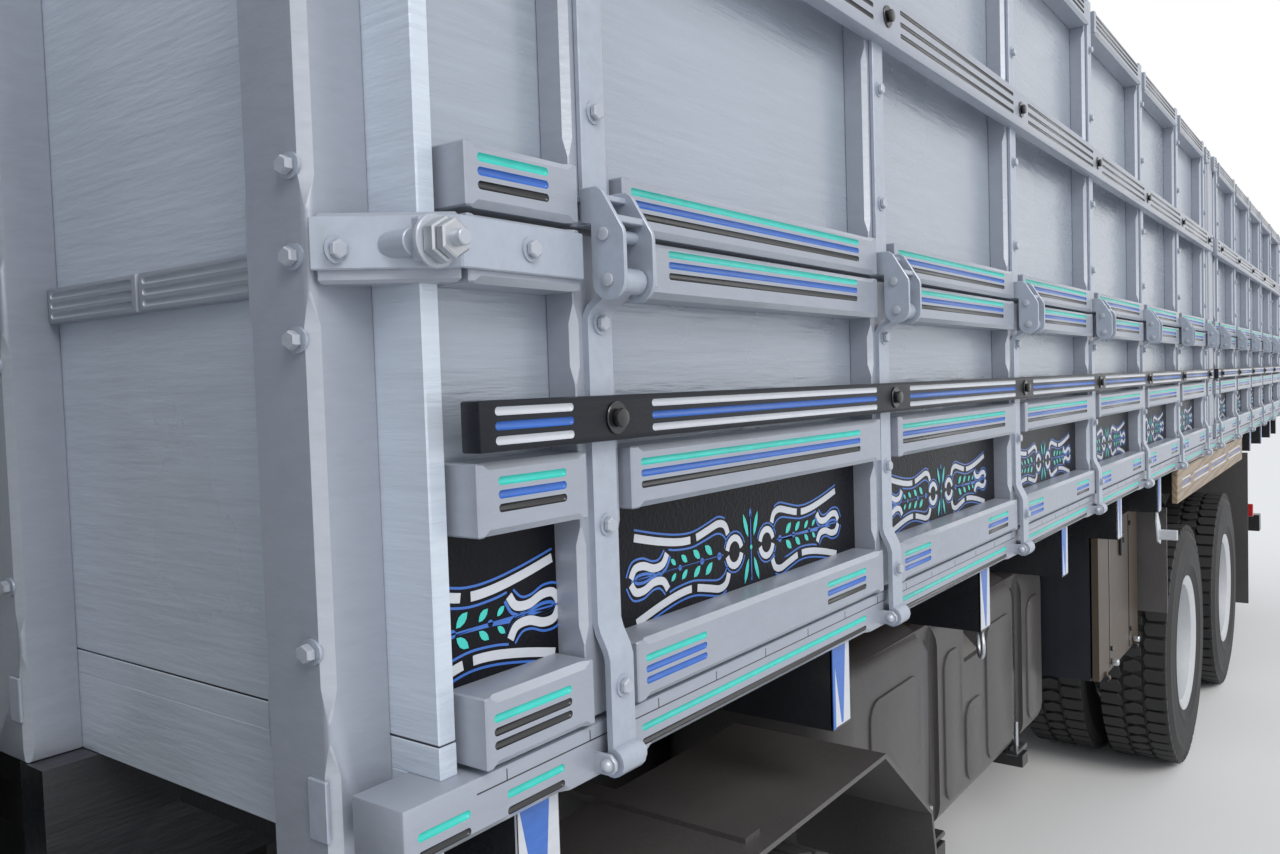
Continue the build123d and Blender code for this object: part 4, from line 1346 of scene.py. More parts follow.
@dataclass
class Body:
    """Cargo body: gates, headboard, rim timbers and stake posts."""

    size: Layout
    wood: Woodwork
    iron: Ironwork
    gate_start: float = 0.006       # station where the front gates start
    rim_start: float = -0.080       # station where the rim timbers start
    rim_face: float = 0.054         # depth of the rim's outer face
    belt_low: float = 1.846
    belt_high: float = 1.890
    board_thick: float = 0.020
    strip_out: float = 0.014        # how far the headboard's strip stands out
    post_half: float = 0.045
    post_face: float = 0.085
    post_top: float = 2.730
    # Middle, foot and chamfer of each headboard post
    post_places: tuple[Point3, ...] = ((1.150, 1.215, 0.0095), (0.553, 1.3103, 0.0085))
    post_bolts: tuple[float, ...] = (1.524, 1.790, 1.860, 1.936, 2.22, 2.50)

    def build(self) -> None:
        """Build and place every piece of the body."""
        s = self.size
        front_end = s.front_posts[-1] + s.gate_end
        rear_start, rear_end = s.rear_posts[0] - s.gate_end, s.tail - s.corner_post - s.gate_play
        lengths = (("front", s.front_posts, self.gate_start, front_end, True),
                   ("rear", s.rear_posts, rear_start, rear_end, False))
        for name, posts, start, end, first in lengths:
            gate = Gate(s, self.wood, self.iron, posts, start, end, first)
            for storey in ("lower", "upper"):
                made = gate.lower("gate") if storey == "lower" else gate.upper("gate")
                if first and storey == "lower":
                    made = Bench.join("gate", [made, *self.belt()])
                for side, wall in (("left", s.left), ("right", s.right)):
                    node = f"{storey}_gate_{name}_{side}"
                    mount(Bench.copy(made, wall, f"{node}_dressed"), node, "silver_paint", node)
                Bench.drop([made])
        gate = Gate(s, self.wood, self.iron, s.tail_posts, -s.tail_half, s.tail_half)
        for storey in ("lower", "upper"):
            made = gate.lower("gate") if storey == "lower" else gate.upper("gate")
            node = f"tail_gate_{storey}"
            mount(Bench.copy(made, s.rear, f"{node}_dressed"), node, "silver_paint", node)
            Bench.drop([made])
        mount(self.rim(), "chassis", "silver_paint", "rim_timbers")
        mount(self.headboard(), "chassis", "silver_paint", "headboard")
        mount(self.head_posts(), "chassis", "silver_paint", "head_posts")

    def belt(self) -> list[Piece]:
        """Steel-faced rail round the front corner, with its tie rod, in wall space.

        Returns:
            The pieces.
        """
        low, high = self.belt_low, self.belt_high
        side = Bench.block("belt", (-0.006, -0.0705, low), (0.153, -0.0645, high), SILVER_IRON, 0.0012)
        plan = [(-0.006, -0.0705), (-0.090, 0.022), (-0.084, 0.027), (0.003, -0.060)]
        leg = Bench.prism("leg", plan, low, high, SILVER_IRON, "Z", 0.0012)
        wood_plan = [(-0.002, -0.0655), (-0.084, 0.024), (-0.062, 0.030), (0.008, -0.040)]
        wood = Bench.prism("leg_wood", wood_plan, 1.835, 1.894, SILVER, "Z", 0.003)
        rod_z, rod_x = 1.866, -0.030
        parts = [side, leg, wood]
        # Tie rod and washer are the lighter silver of the painted highlight.
        parts.append(Bench.rod("tie_rod", (rod_x, -0.010, rod_z), (rod_x, -0.100, rod_z), 0.0072, SILVER_HIGHLIGHT,
                               16, 0.001))
        parts.append(Bench.rod("tie_sleeve", (rod_x - 0.012, -0.020, rod_z), (rod_x - 0.012, -0.052, rod_z),
                               0.0115, SILVER_IRON, 18, 0.001))
        parts.append(self.iron.put("bolt", (-0.078, 0.004, 1.862)))
        parts.append(Bench.rod("tie_washer", (rod_x, -0.062, rod_z), (rod_x, -0.067, rod_z), 0.0225,
                               SILVER_HIGHLIGHT, 24, 0.001))
        parts.append(Bench.rod("tie_nut", (rod_x, -0.067, rod_z), (rod_x, -0.080, rod_z), 0.0190, ZINC, 6,
                               0.0016))
        parts.append(Bench.rod("tie_lock", (rod_x, -0.080, rod_z), (rod_x, -0.090, rod_z), 0.0165, ZINC, 6,
                               0.0016))
        parts.append(Bench.block("tie_lug", (rod_x - 0.014, -0.062, low + 0.004),
                                 (rod_x + 0.030, -0.050, high - 0.004), SILVER_IRON, 0.002))
        parts.append(self.iron.put("bolt", (0.078, -0.0705, 1.868)))
        return [Bench.smooth(p, 35) if p.name.startswith("tie") else p for p in parts]

    def rim(self) -> Piece:
        """Rim timbers with their grooves, seams and hinge pins.

        Returns:
            Both sides and the sill, joined.
        """
        s, face, paints = self.size, self.rim_face, (Groove.TURQUOISE, Groove.BLACK)
        low, high = s.rim_low, s.rim_top
        bar = Bench.block("rim", (self.rim_start, -face, low), (s.tail, 0.012, high), SILVER, 0.003, 2)
        posts = [*s.front_posts, *s.rear_posts]
        runs = [Run(-0.066, -0.006, paints), Run(0.039, 0.118, paints)]
        runs += [Run(p + 0.054, min(q - 0.080, p + 0.632), paints)
                 for p, q in zip(posts, [*posts[1:], s.tail])]
        rail = RailType(low, high, 1.3785, (), (), paints, 0.0155)
        cutters = self.wood.grooves(rail, runs, face)
        for p, q in zip([self.rim_start - 0.06, *posts], [*posts, s.tail + 0.05]):
            cutters.append(self.wood.splinter((p + 0.060, -face, low), (q - 0.060, -face, low), 0.008, 0.012))
        timber = Bench.smooth(Bench.cut(bar, cutters), 30)
        # Black strips just proud of the face along the seam and at each board joint: painted shadow in place
        # of cut gaps.
        lines = [Bench.block("seam", (0.002, -face - 0.0003, 1.3912), (s.tail - 0.02, -face + 0.001, 1.3924),
                             BLACK)]
        lines += [Bench.block("joint", (u, -face - 0.0003, 1.3924), (u + 0.0010, -face + 0.001, 1.4026),
                              BLACK)
                  for u in [0.039 + 0.118 * i for i in range(72)]]
        pins = [self.iron.put("pin", (p, 0.0, 0.0)) for p in posts]
        left = Bench.join("rim_side", [timber, *lines, *pins])
        sill = Bench.block("sill", (-s.deck_half, -face, low), (s.deck_half, s.corner_post, high), SILVER,
                           0.003, 2)
        runs = [Run(p + 0.054, q - 0.080, paints) for p, q in zip(s.tail_posts, s.tail_posts[1:])]
        sill = Bench.smooth(Bench.cut(sill, self.wood.grooves(rail, runs, face)), 30)
        tail_pins = [self.iron.put("pin", (p, 0.0, 0.0)) for p in s.tail_posts]
        sill = Bench.join("sill", [sill, *tail_pins])
        placed = [Bench.copy(left, s.left), Bench.copy(left, s.right), Bench.copy(sill, s.rear)]
        Bench.drop([left, sill])
        return Bench.join("rim_timbers_dressed", placed)

    @property
    def front(self) -> Matrix:
        """Wall space of the headboard: X is Y of the truck, -Y is forwards from station 0."""
        return Matrix(((0, -1, 0, self.size.head_x), (1, 0, 0, 0), (0, 0, 1, 0), (0, 0, 0, 1)))

    def strip(self, start: float, end: float) -> Piece:
        """Stretch of the carved strip across the headboard.

        Args:
            start: Y of one end.
            end: Y of the other end.

        Returns:
            The strip with its three grooves.
        """
        thick, face = self.board_thick, self.board_thick + self.strip_out
        bar = Bench.block("strip", (start, -face, 1.840), (end, -thick + 0.001, 1.883), SILVER, 0.0025, 2)
        cutters = []
        # The groove cutters carry the lighter silver, so the grooves' faces take a painted highlight.
        for i in range(3):
            y, z = -(face + 0.0012), 1.8735 - 0.012 * i
            cutters.append(Bench.capsule("groove", (start + 0.008, y, z), (end - 0.008, y, z), 0.0044,
                                         SILVER_HIGHLIGHT))
        return Bench.smooth(Bench.cut(bar, cutters), 30)

    def headboard(self) -> Piece:
        """Headboard plywood in two widths of board, with the carved strip between the posts.

        Returns:
            The headboard.
        """
        thick, deck, rim_top = self.board_thick, self.size.deck_half, self.size.rim_top
        half, low, top, joint = 1.258, 1.3103, 2.740, 1.435
        # The boards take the much lighter headboard silver, which is painted light.
        boards = [Bench.block("board", (-half, -thick, joint + 0.0012), (half, 0.0, top), HEAD_PLY_PAINTED_LIGHT, 0.0015),
                  Bench.block("board_low", (-half, -thick, rim_top), (half, 0.0, joint - 0.0002), HEAD_PLY_PAINTED_LIGHT,
                              0.0008),
                  Bench.block("board_foot", (-deck, -thick, low), (deck, 0.0, rim_top), HEAD_PLY_PAINTED_LIGHT, 0.0008),
                  Bench.block("joint_shadow", (-half + 0.002, -thick + 0.001, joint - 0.001),
                              (half - 0.002, -0.001, joint + 0.002), BLACK)]
        for start, end in ((0.600, 0.812), (0.818, 1.103)):
            strip = self.strip(start, end)
            boards += [Bench.copy(strip, Matrix.Scale(-1, 4, (1, 0, 0))), strip]
        boards.append(self.strip(-0.505, 0.505))
        return Bench.move(Bench.join("headboard", boards), self.front, "headboard_dressed")

    def head_posts(self) -> Piece:
        """Four posts with stopped chamfers, bolts and foot plates.

        Returns:
            The posts.
        """
        parts = []
        for middle, foot, width in self.post_places:
            near, far, face = middle - self.post_half, middle + self.post_half, -self.post_face
            made = Bench.block("post", (near, face, foot), (far, -self.board_thick, self.post_top), SILVER,
                               0.0025, 2)
            breaks = ((foot - 0.02, 1.452), (1.458, 1.836), (1.892, 2.60))
            cutters = [self.wood.splinter((x, face, a), (x, face, b), leg, point)
                       for x, leg, point in ((far, width, 0.035), (near, width * 0.5, 0.03))
                       for a, b in breaks]
            post = Bench.smooth(Bench.cut(made, cutters), 30)
            row = middle + 0.026
            centre = Vector((row, face, 0))
            wide = Matrix.Diagonal((1.25, 1.25, 1, 1))
            wider = Matrix.Translation(centre) @ wide @ Matrix.Translation(-centre)
            bolts = [self.iron.put("bolt", (row, face, z)) for z in self.post_bolts]
            for bolt in bolts:
                bolt.data.transform(wider)
            plate = Bench.block("plate", (middle + 0.015, -0.0885, 1.360), (middle + 0.041, -0.0845, 1.414),
                                SILVER_IRON, 0.001)
            post = Bench.join("post", [post, *bolts, plate])
            parts += [Bench.copy(post, Matrix.Scale(-1, 4, (1, 0, 0))), post]
        return Bench.move(Bench.join("head_posts", parts), self.front, "head_posts_dressed")


RUBBER = Finish("rubber", (0.022, 0.022, 0.023), 0.25, 0.72, 0.08, 0.0, 0.0, (90.0, 90.0, 90.0), 0.0006)
RIM_PAINT = Finish("rim_paint", (0.50, 0.515, 0.535), 0.12, 0.34, 0.08, 0.25, 0.3, (60.0, 60.0, 60.0), 0.0003)
MOULDED = Finish("moulded_plastic", (0.078, 0.073, 0.073), 0.35, 0.40, 0.08, 0.0, 0.0, (220.0, 220.0, 220.0),
                 0.0004, wave=0.006)
RAMP_GREY = Finish("ramp_grey", (0.17, 0.165, 0.155), 0.2, 0.5, 0.08, 0.0, 0.0, (120.0, 120.0, 120.0), 0.0003)
# Dark beige on steel: painted reflection of the ground in the polished locker flap.
FLAP_GROUND_REFLECTION = Finish("flap_painted_ground_reflection", (0.085, 0.064, 0.047), 0.14, 0.40, 0.06, 0.30, 0.0, (90.0, 90.0, 90.0),
                     0.0003)
NIGHT_STEEL = Finish("night_steel", (0.008, 0.011, 0.018), 0.3, 0.36, 0.08, 0.0, 0.3, (60.0, 60.0, 60.0),
                     0.0004)
CHASSIS_BLACK = Finish("chassis_paint", (0.010, 0.010, 0.011), 0.3, 0.42, 0.1, 0.0, 0.2, (70.0, 70.0, 70.0),
                       0.0005)
ENGINE_IRON = Finish("engine_cast", (0.060, 0.060, 0.062), 0.3, 0.5, 0.1, 0.5, 0.0, (140.0, 140.0, 140.0),
                     0.0008)
CAB_WHITE = Finish("cab_white", (0.70, 0.71, 0.72), 0.03, 0.24, 0.04, 0.0, 0.6, (300.0, 300.0, 300.0),
                   0.00005)
CAB_PLASTIC = Finish("cab_trim", (0.030, 0.031, 0.033), 0.15, 0.52, 0.06, 0.0, 0.0, (260.0, 260.0, 260.0),
                     0.0003)
FABRIC = Finish("seat_cloth", (0.055, 0.060, 0.075), 0.25, 0.85, 0.05, 0.0, 0.0, (500.0, 500.0, 500.0),
                0.0006, sheen=0.4)
GLASS = Finish("window_glass", (0.80, 0.86, 0.85), 0.02, 0.05, 0.01, 0.0, 0.0, (3.0, 3.0, 3.0), 0.00002,
               see=0.94)
LENS = Finish("lamp_lens", (0.78, 0.80, 0.82), 0.05, 0.10, 0.02, 0.0, 0.5, (200.0, 40.0, 40.0), 0.0006,
              see=0.35)
LENS_RED = Finish("red_lens", (0.45, 0.012, 0.012), 0.1, 0.18, 0.04, 0.0, 0.5, (160.0, 160.0, 40.0), 0.0008)
LENS_AMBER = Finish("amber_lens", (0.65, 0.20, 0.01), 0.1, 0.18, 0.04, 0.0, 0.5, (160.0, 160.0, 40.0), 0.0008)
TAN_WOOD = WoodFinish("tan_board", (0.33, 0.25, 0.17), 0.2, 0.55, 0.08, 0.0, 0.1, (8.0, 90.0, 90.0), 0.0007,
                      deep=(0.20, 0.14, 0.09))
DECK_WOOD = WoodFinish("deck_wood_grain", (0.27, 0.17, 0.10), 0.2, 0.60, 0.08, 0.0, 0.0, (6.0, 80.0, 80.0),
                       0.0009, deep=(0.14, 0.085, 0.05))


@dataclass
class Wheels:
    """Tyres with a block tread, dished rims with hand holes, hubs and nuts."""

    size: Layout
    height: float = 0.522
    segments: int = 52
    steer: tuple[float, float] = (-1.300, 0.600)
    drive: tuple[float, float] = (4.400, 5.749)
    steer_mid: float = 1.075        # half the track of the steered wheels
    mid: float = 1.080              # and of the outer and inner driven ones
    twin: float = 0.750
    tread_low: float = 0.498
    tread_top: float = 0.5206
    hole_circle: float = 0.217
    hole_radius: float = 0.0215
    nut_circle: float = 0.1675

    def tread(self) -> Piece:
        """Ring of zigzag tread blocks about the origin, with its axis along Y.

        Returns:
            The ring.
        """
        low, high = self.tread_low, self.tread_top
        middle = [(-0.027, 0.0), (-0.014, -0.034), (0.018, -0.034), (0.027, 0.0), (0.014, 0.034),
                  (-0.018, 0.034)]
        shoulder = [(-0.027, 0.050), (-0.010, 0.041), (0.014, 0.046), (0.027, 0.056), (0.024, 0.126),
                    (-0.023, 0.126)]
        blocks = [Bench.prism("block", middle, low, high, RUBBER, "Z", 0.0018)]
        for way in (1, -1):
            outline = [(way * x, way * y) for x, y in shoulder]
            block = Bench.prism("block", outline, low, high, RUBBER, "Z", 0.0018)
            block.data.transform(Matrix.Rotation(math.pi / self.segments, 4, "Y"))
            blocks.append(block)
        ring = Bench.join("tread", blocks)
        turn = math.tau * (self.segments - 1) / self.segments
        with Bench.editing(ring):
            bpy.ops.mesh.select_all(action="SELECT")
            bpy.ops.mesh.spin(steps=self.segments - 1, dupli=True, angle=turn, center=(0, 0, 0),
                              axis=(0, 1, 0))
        return ring

    def tyre(self) -> Piece:
        """One tyre about the origin.

        Returns:
            The tyre.
        """
        half = [(0.287, 0.112), (0.291, 0.126), (0.316, 0.134), (0.338, 0.1375), (0.341, 0.1395),
                (0.347, 0.1395), (0.350, 0.1382), (0.385, 0.1396), (0.425, 0.1385), (0.456, 0.1350),
                (0.459, 0.1365), (0.466, 0.1358), (0.469, 0.1335), (0.490, 0.1290), (0.504, 0.1200),
                (0.507, 0.0900)]
        outline = half + [(r, -t) for r, t in reversed(half)]
        carcass = Bench.smooth(Bench.turned("carcass", outline, (0, 0, 0), RUBBER, 72), 40)
        return Bench.join("tyre", [carcass, self.tread()])

    def barrel(self) -> Piece:
        """Well of one rim about the origin.

        Returns:
            The well.
        """
        outline = [(0.297, 0.1275), (0.297, 0.121), (0.288, 0.118), (0.268, 0.108), (0.256, 0.070),
                   (0.252, -0.070), (0.262, -0.108), (0.288, -0.118), (0.297, -0.121), (0.297, -0.1275),
                   (0.284, -0.126), (0.254, -0.112), (0.244, -0.070), (0.244, 0.062), (0.254, 0.112),
                   (0.284, 0.126)]
        return Bench.smooth(Bench.turned("barrel", outline, (0, 0, 0), RIM_PAINT, 64), 40)

    def disc(self, way: float) -> Piece:
        """Dished disc with hand holes and nuts.

        Args:
            way: 1 for a disc that bulges outwards, -1 for one that is set in.

        Returns:
            The disc.
        """
        outline = [(0.249, 0.006), (0.236, 0.040), (0.210, 0.066), (0.182, 0.074), (0.060, 0.074),
                   (0.060, 0.062), (0.178, 0.062), (0.200, 0.054), (0.224, 0.030), (0.237, 0.004)]
        plate = Bench.turned("disc", [(r, t * way) for r, t in outline], (0, 0, 0), RIM_PAINT, 60)
        cutters = []
        for i in range(8):
            x, z = (self.hole_circle * f(math.tau * (i + 0.5) / 8) for f in (math.cos, math.sin))
            cutters.append(Bench.rod("hole", (x, 0.13 * way, z), (x, -0.03 * way, z), self.hole_radius,
                                     RIM_PAINT, 18))
        parts = [Bench.smooth(Bench.cut(plate, cutters), 35)]
        face = 0.074 if way > 0 else -0.062
        for i in range(10):
            x, z = (self.nut_circle * f(math.tau * i / 10) for f in (math.cos, math.sin))
            parts.append(Bench.rod("nut", (x, face, z), (x, face + 0.024, z), 0.0160, ZINC, 6, 0.0018))
            parts.append(Bench.rod("stud", (x, face + 0.020, z), (x, face + 0.034, z), 0.0085, ZINC, 10,
                                   0.0015))
        return Bench.join("disc", parts)

    def hub(self, outline: Sequence[Point2]) -> Piece:
        """Hub about the origin, turned from its profile."""
        return Bench.smooth(Bench.turned("hub", outline, (0, 0, 0), WHITE, 40), 35)

    def build(self) -> None:
        """Build all wheels and hang them on their bodies."""
        tyre, barrel, convex, concave = self.tyre(), self.barrel(), self.disc(1.0), self.disc(-1.0)
        front_hub = self.hub([(0.0, 0.105), (0.044, 0.105), (0.060, 0.099), (0.066, 0.080), (0.112, 0.077),
                              (0.115, 0.058), (0.115, -0.045), (0.0, -0.045)])
        rear_hub = self.hub([(0.0, 0.020), (0.066, 0.020), (0.082, 0.010), (0.086, -0.040), (0.112, -0.052),
                             (0.115, -0.070), (0.115, -0.280), (0.0, -0.280)])
        for number, station in enumerate((*self.steer, *self.drive), 1):
            steered = number <= len(self.steer)
            mids = (self.steer_mid,) if steered else (self.mid, self.twin)
            for side, flip in (("left", 1.0), ("right", -1.0)):
                spots = [Matrix.Diagonal((1.0, flip, 1.0, 1.0)) @ Matrix.Translation((self.size.at(station),
                                                                                      y, self.height))
                         for y in mids]
                rubber = Bench.join(f"tyre_{number}_{side}_dressed",
                                    [Bench.copy(tyre, spot) for spot in spots])
                steel = [Bench.copy(barrel, spot) for spot in spots]
                steel.append(Bench.copy(convex if steered else concave, spots[0]))
                if not steered:
                    steel.append(Bench.copy(convex, spots[1]))
                steel.append(Bench.copy(front_hub if steered else rear_hub, spots[0]))
                rim = Bench.join(f"rim_{number}_{side}_dressed", steel)
                mount(rubber, f"wheel_{number}_{side}", "tyre", f"tyre_{number}_{side}")
                mount(rim, f"wheel_{number}_{side}", "wheel_paint", f"rim_{number}_{side}")
        Bench.drop([tyre, barrel, convex, concave, front_hub, rear_hub])


@dataclass
class Underside:
    """What hangs below the deck: tanks, locker, timber ends, skirt boards, hook and ring."""

    size: Layout
    iron: Ironwork
    wood: Woodwork
    front: float = 0.275            # depth of the tank's outer face behind the wall line
    back: float = 0.770             # and of its inner face
    low: float = 0.500
    high: float = 1.100
    ends: tuple[float, float] = (1.400, 3.100)
    straps: tuple[float, float] = (1.960, 2.740)
    flap_face: float = 0.1045       # depth of the locker flap's face
    planks: int = 16
    plank_gap: float = 0.0012       # half the gap between two planks
    crosses: tuple[float, ...] = (0.110, 0.790, 1.480, 2.130, 2.810, 3.510, 4.150, 4.680, 5.320, 6.000, 6.690,
                                  7.380, 8.060, 8.550)

    def hang(self, parts: Sequence[Piece], name: str, slot: str, node: str = "",
             body: str = "chassis", sides: str = "both") -> None:
        """Join pieces of wall space, place them on the sides and hang them on a body.

        Args:
            parts: The pieces.
            name: Name of the result.
            slot: Material slot.
            node: CAD node that it stands for, if any.
            body: Body that it moves with.
            sides: "both" or "left".
        """
        made = Bench.join(name, parts)
        walls = (self.size.left, self.size.right) if sides == "both" else (self.size.left,)
        placed = Bench.join(name, [Bench.copy(made, wall) for wall in walls])
        Bench.drop([made])
        placed.name = name
        mount(placed, body, slot, *((node,) if node else ()))

    def oblong(self, start: float, end: float, low: float, high: float, corner: float,
               out: float) -> Piece:
        """Raised panel of a tank with round corners, moulded in one with its face.

        Args:
            start: First station.
            end: Last station.
            low: Foot.
            high: Top.
            corner: Radius of the corners.
            out: How far it stands out.

        Returns:
            The panel.
        """
        outline = []
        for x, z, turn in ((end - corner, high - corner, 0), (start + corner, high - corner, 90),
                           (start + corner, low + corner, 180), (end - corner, low + corner, 270)):
            outline += arc((x, z), corner, turn, turn + 90, 5)
        return Bench.smooth(Bench.prism("panel", outline, self.front + 0.030, self.front - out, MOULDED, "Y",
                                        0.005, 2), 40)

    def tanks(self) -> None:
        """Fuel tanks with channels, panels, a notch with its ramp, straps and caps."""
        front, back, low, high = self.front, self.back, self.low, self.high
        tank = Bench.block("tank", (self.ends[0], front, low), (self.ends[1], back, high), MOULDED, 0.085, 6)
        cutters = []
        for u in self.straps:
            cutters.append(Bench.block("channel", (u - 0.052, front - 0.1, low - 0.1),
                                       (u + 0.052, front + 0.024, high + 0.1), MOULDED, 0.008, 2))
            cutters.append(Bench.block("channel", (u - 0.050, front - 0.1, high - 0.024),
                                       (u + 0.050, back + 0.1, high + 0.1), MOULDED, 0.008, 2))
        notch = [(front - 0.05, 1.20), (front - 0.05, 0.90), (front + 0.02, 0.93), (front + 0.13, 1.04),
                 (front + 0.15, 1.20)]
        cutters.append(Bench.prism("notch", notch, 2.22, 2.37, MOULDED, bevel=0.012, steps=2))
        parts = [Bench.smooth(Bench.cut(tank, cutters), 40)]
        for start, end, low_z, high_z in ((1.56, 1.87, 0.57, 0.985), (2.05, 2.19, 0.57, 0.985),
                                          (2.41, 2.66, 0.57, 0.985), (2.84, 3.00, 0.57, 0.985),
                                          (2.22, 2.38, 0.57, 0.80)):
            ring = self.oblong(start - 0.012, end + 0.012, low_z - 0.012, high_z + 0.012, 0.06, -0.0085)
            groove = self.oblong(start, end, low_z, high_z, 0.05, 0.007)
            parts += [ring, groove]
        ramp = [(front + 0.012, 0.925), (front + 0.004, 0.932), (front + 0.118, 1.046),
                (front + 0.126, 1.038)]
        parts.append(Bench.prism("ramp", ramp, 2.235, 2.355, RAMP_GREY, bevel=0.001))
        for u in self.straps:
            path = [(front + 0.060, 0.506), (front + 0.026, 0.520), (front + 0.016, 0.560),
                    (front + 0.016, 1.010), (front + 0.032, 1.056), (front + 0.075, 1.084), (0.700, 1.084)]
            parts.append(Bench.smooth(Bench.prism("strap", band(path, 0.004), u - 0.020, u + 0.020, BLACK),
                                      50))
            parts.append(Bench.block("strap_foot", (u - 0.055, front - 0.012, 0.502),
                                     (u + 0.055, front + 0.030, 0.516), BLACK, 0.003))
            parts.append(Bench.rod("draw_bolt", (u, front + 0.008, 0.510), (u, front + 0.008, 0.600), 0.007,
                                   ZINC, 10))
        neck = [(0.0, 0.012), (0.052, 0.012), (0.056, 0.006), (0.056, -0.030), (0.0, -0.030)]
        parts.append(Bench.smooth(Bench.turned("cap", neck, (1.640, 0.420, 1.112), CAB_PLASTIC, 32, "Z"), 35))
        self.hang(parts, "fuel_tanks_dressed", "tank_plastic", "fuel_tanks")

    def locker(self) -> None:
        """Face of the locker's flap: two lines, latch, rivets and knobs."""
        face = self.flap_face
        parts = []
        for u in (3.285, 3.625):
            parts.append(Bench.block("line", (u - 0.005, face - 0.0012, 0.670),
                                     (u + 0.005, face + 0.002, 1.186), BLACK))
        parts.append(Bench.block("latch", (3.425, face - 0.012, 1.118), (3.500, face, 1.134), BLACK, 0.003,
                                 2))
        parts.append(Bench.block("latch_arm", (3.455, face - 0.010, 1.050), (3.469, face, 1.126), BLACK,
                                 0.003, 2))
        for u, z in ((3.30, 1.150), (3.52, 1.100), (3.305, 0.735), (3.645, 0.735), (3.64, 1.150)):
            parts.append(Bench.rod("rivet", (u, face, z), (u, face - 0.007, z), 0.0095, BLACK, 12, 0.002, 2))
        for u in (3.315, 3.700):
            ball = Bench.rod("knob", (u, face, 0.684), (u, face - 0.024, 0.684), 0.0125, ZINC, 18, 0.005, 3)
            parts.append(Bench.smooth(ball, 60))
        self.hang(parts, "flap_fittings", "locker_flap", body="flap", sides="left")

    def timber_ends(self) -> None:
        """Painted ends of the crossbeams: white with a blue triangle."""
        parts = []
        for i, u in enumerate(self.crosses[:-1]):
            low, high = 1.217, 1.350
            parts.append(Bench.block("end", (u - 0.030, -0.0256, low), (u + 0.030, -0.020, high), WHITE,
                                     0.0015))
            blue = [(u - 0.029, high), (u + 0.016, high), (u + 0.004, low + 0.004), (u - 0.002, low + 0.004)]
            parts.append(Bench.prism("triangle", blue, -0.0259, -0.0245, BLUE, "Y"))
            if i % 2:
                parts.append(Bench.block("edge", (u - 0.030, -0.0262, low), (u - 0.022, -0.0250, high), BLUE))
        self.hang(parts, "timber_ends", "black_timber")

    def skirts(self) -> None:
        """Tan skirt boards with white and blue grooves between the crossbeams."""
        board = Bench.block("skirt", (3.770, -0.047, 1.215), (6.000, -0.025, 1.346), TAN_WOOD, 0.003)
        rail = RailType(1.215, 1.346, 1.300, (), (), WBW, 0.0165)
        marks = [3.83, 4.15, 4.68, 5.32, 5.96]
        runs = [Run(a + 0.05, b - 0.05, WBW) for a, b in zip(marks, marks[1:])]
        self.hang([Bench.smooth(Bench.cut(board, self.wood.grooves(rail, runs, 0.047)), 30)],
                  "skirt_boards_dressed",
                  "skirt_wood", "skirt_boards")

    def fittings(self) -> None:
        """White hook and steel ring under two crossbeams."""
        hook = [(3.492, 1.217), (3.545, 1.160), (3.560, 1.120), (3.545, 1.090), (3.500, 1.105),
                (3.470, 1.180), (3.480, 1.217)]
        plate = Bench.prism("hook", hook, -0.022, -0.016, WHITE, "Y", 0.001)
        tab = Bench.block("tab", (3.500, -0.085, 1.112), (3.512, -0.016, 1.150), WHITE, 0.004, 2)
        Bench.clear()
        bpy.ops.mesh.primitive_torus_add(major_radius=0.026, minor_radius=0.005, major_segments=28,
                                         minor_segments=10, location=(1.480, -0.014, 1.182),
                                         rotation=(math.pi / 2, 0.0, 0.5))
        ring = Bench.smooth(Bench.settle(bpy.context.object, "ring", ZINC), 60)
        self.hang([plate, tab, ring], "hooks", "chassis_black")
        lamp = Bench.block("flap_lamp", (6.856, -0.022, 0.780), (6.885, 0.040, 0.860), LENS_RED, 0.005, 2)
        self.hang([lamp], "flap_lamps", "lamp_glass")

    def deck(self) -> None:
        """Deck planks."""
        half, gap = self.size.deck_half, self.plank_gap
        back, front = self.size.at(8.5397), self.size.at(0.0003)
        wide = 2 * half / self.planks
        boards = [Bench.block("plank", (back, -half + wide * i + gap, 1.3521),
                              (front, -half + wide * (i + 1) - gap, 1.380), DECK_WOOD, 0.0015)
                  for i in range(self.planks)]
        mount(Bench.join("deck_boards_dressed", boards), "chassis", "deck_wood", "deck_boards")

    def build(self) -> None:
        """Build everything below the deck."""
        self.tanks()
        self.locker()
        self.timber_ends()
        self.skirts()
        self.fittings()
        self.deck()


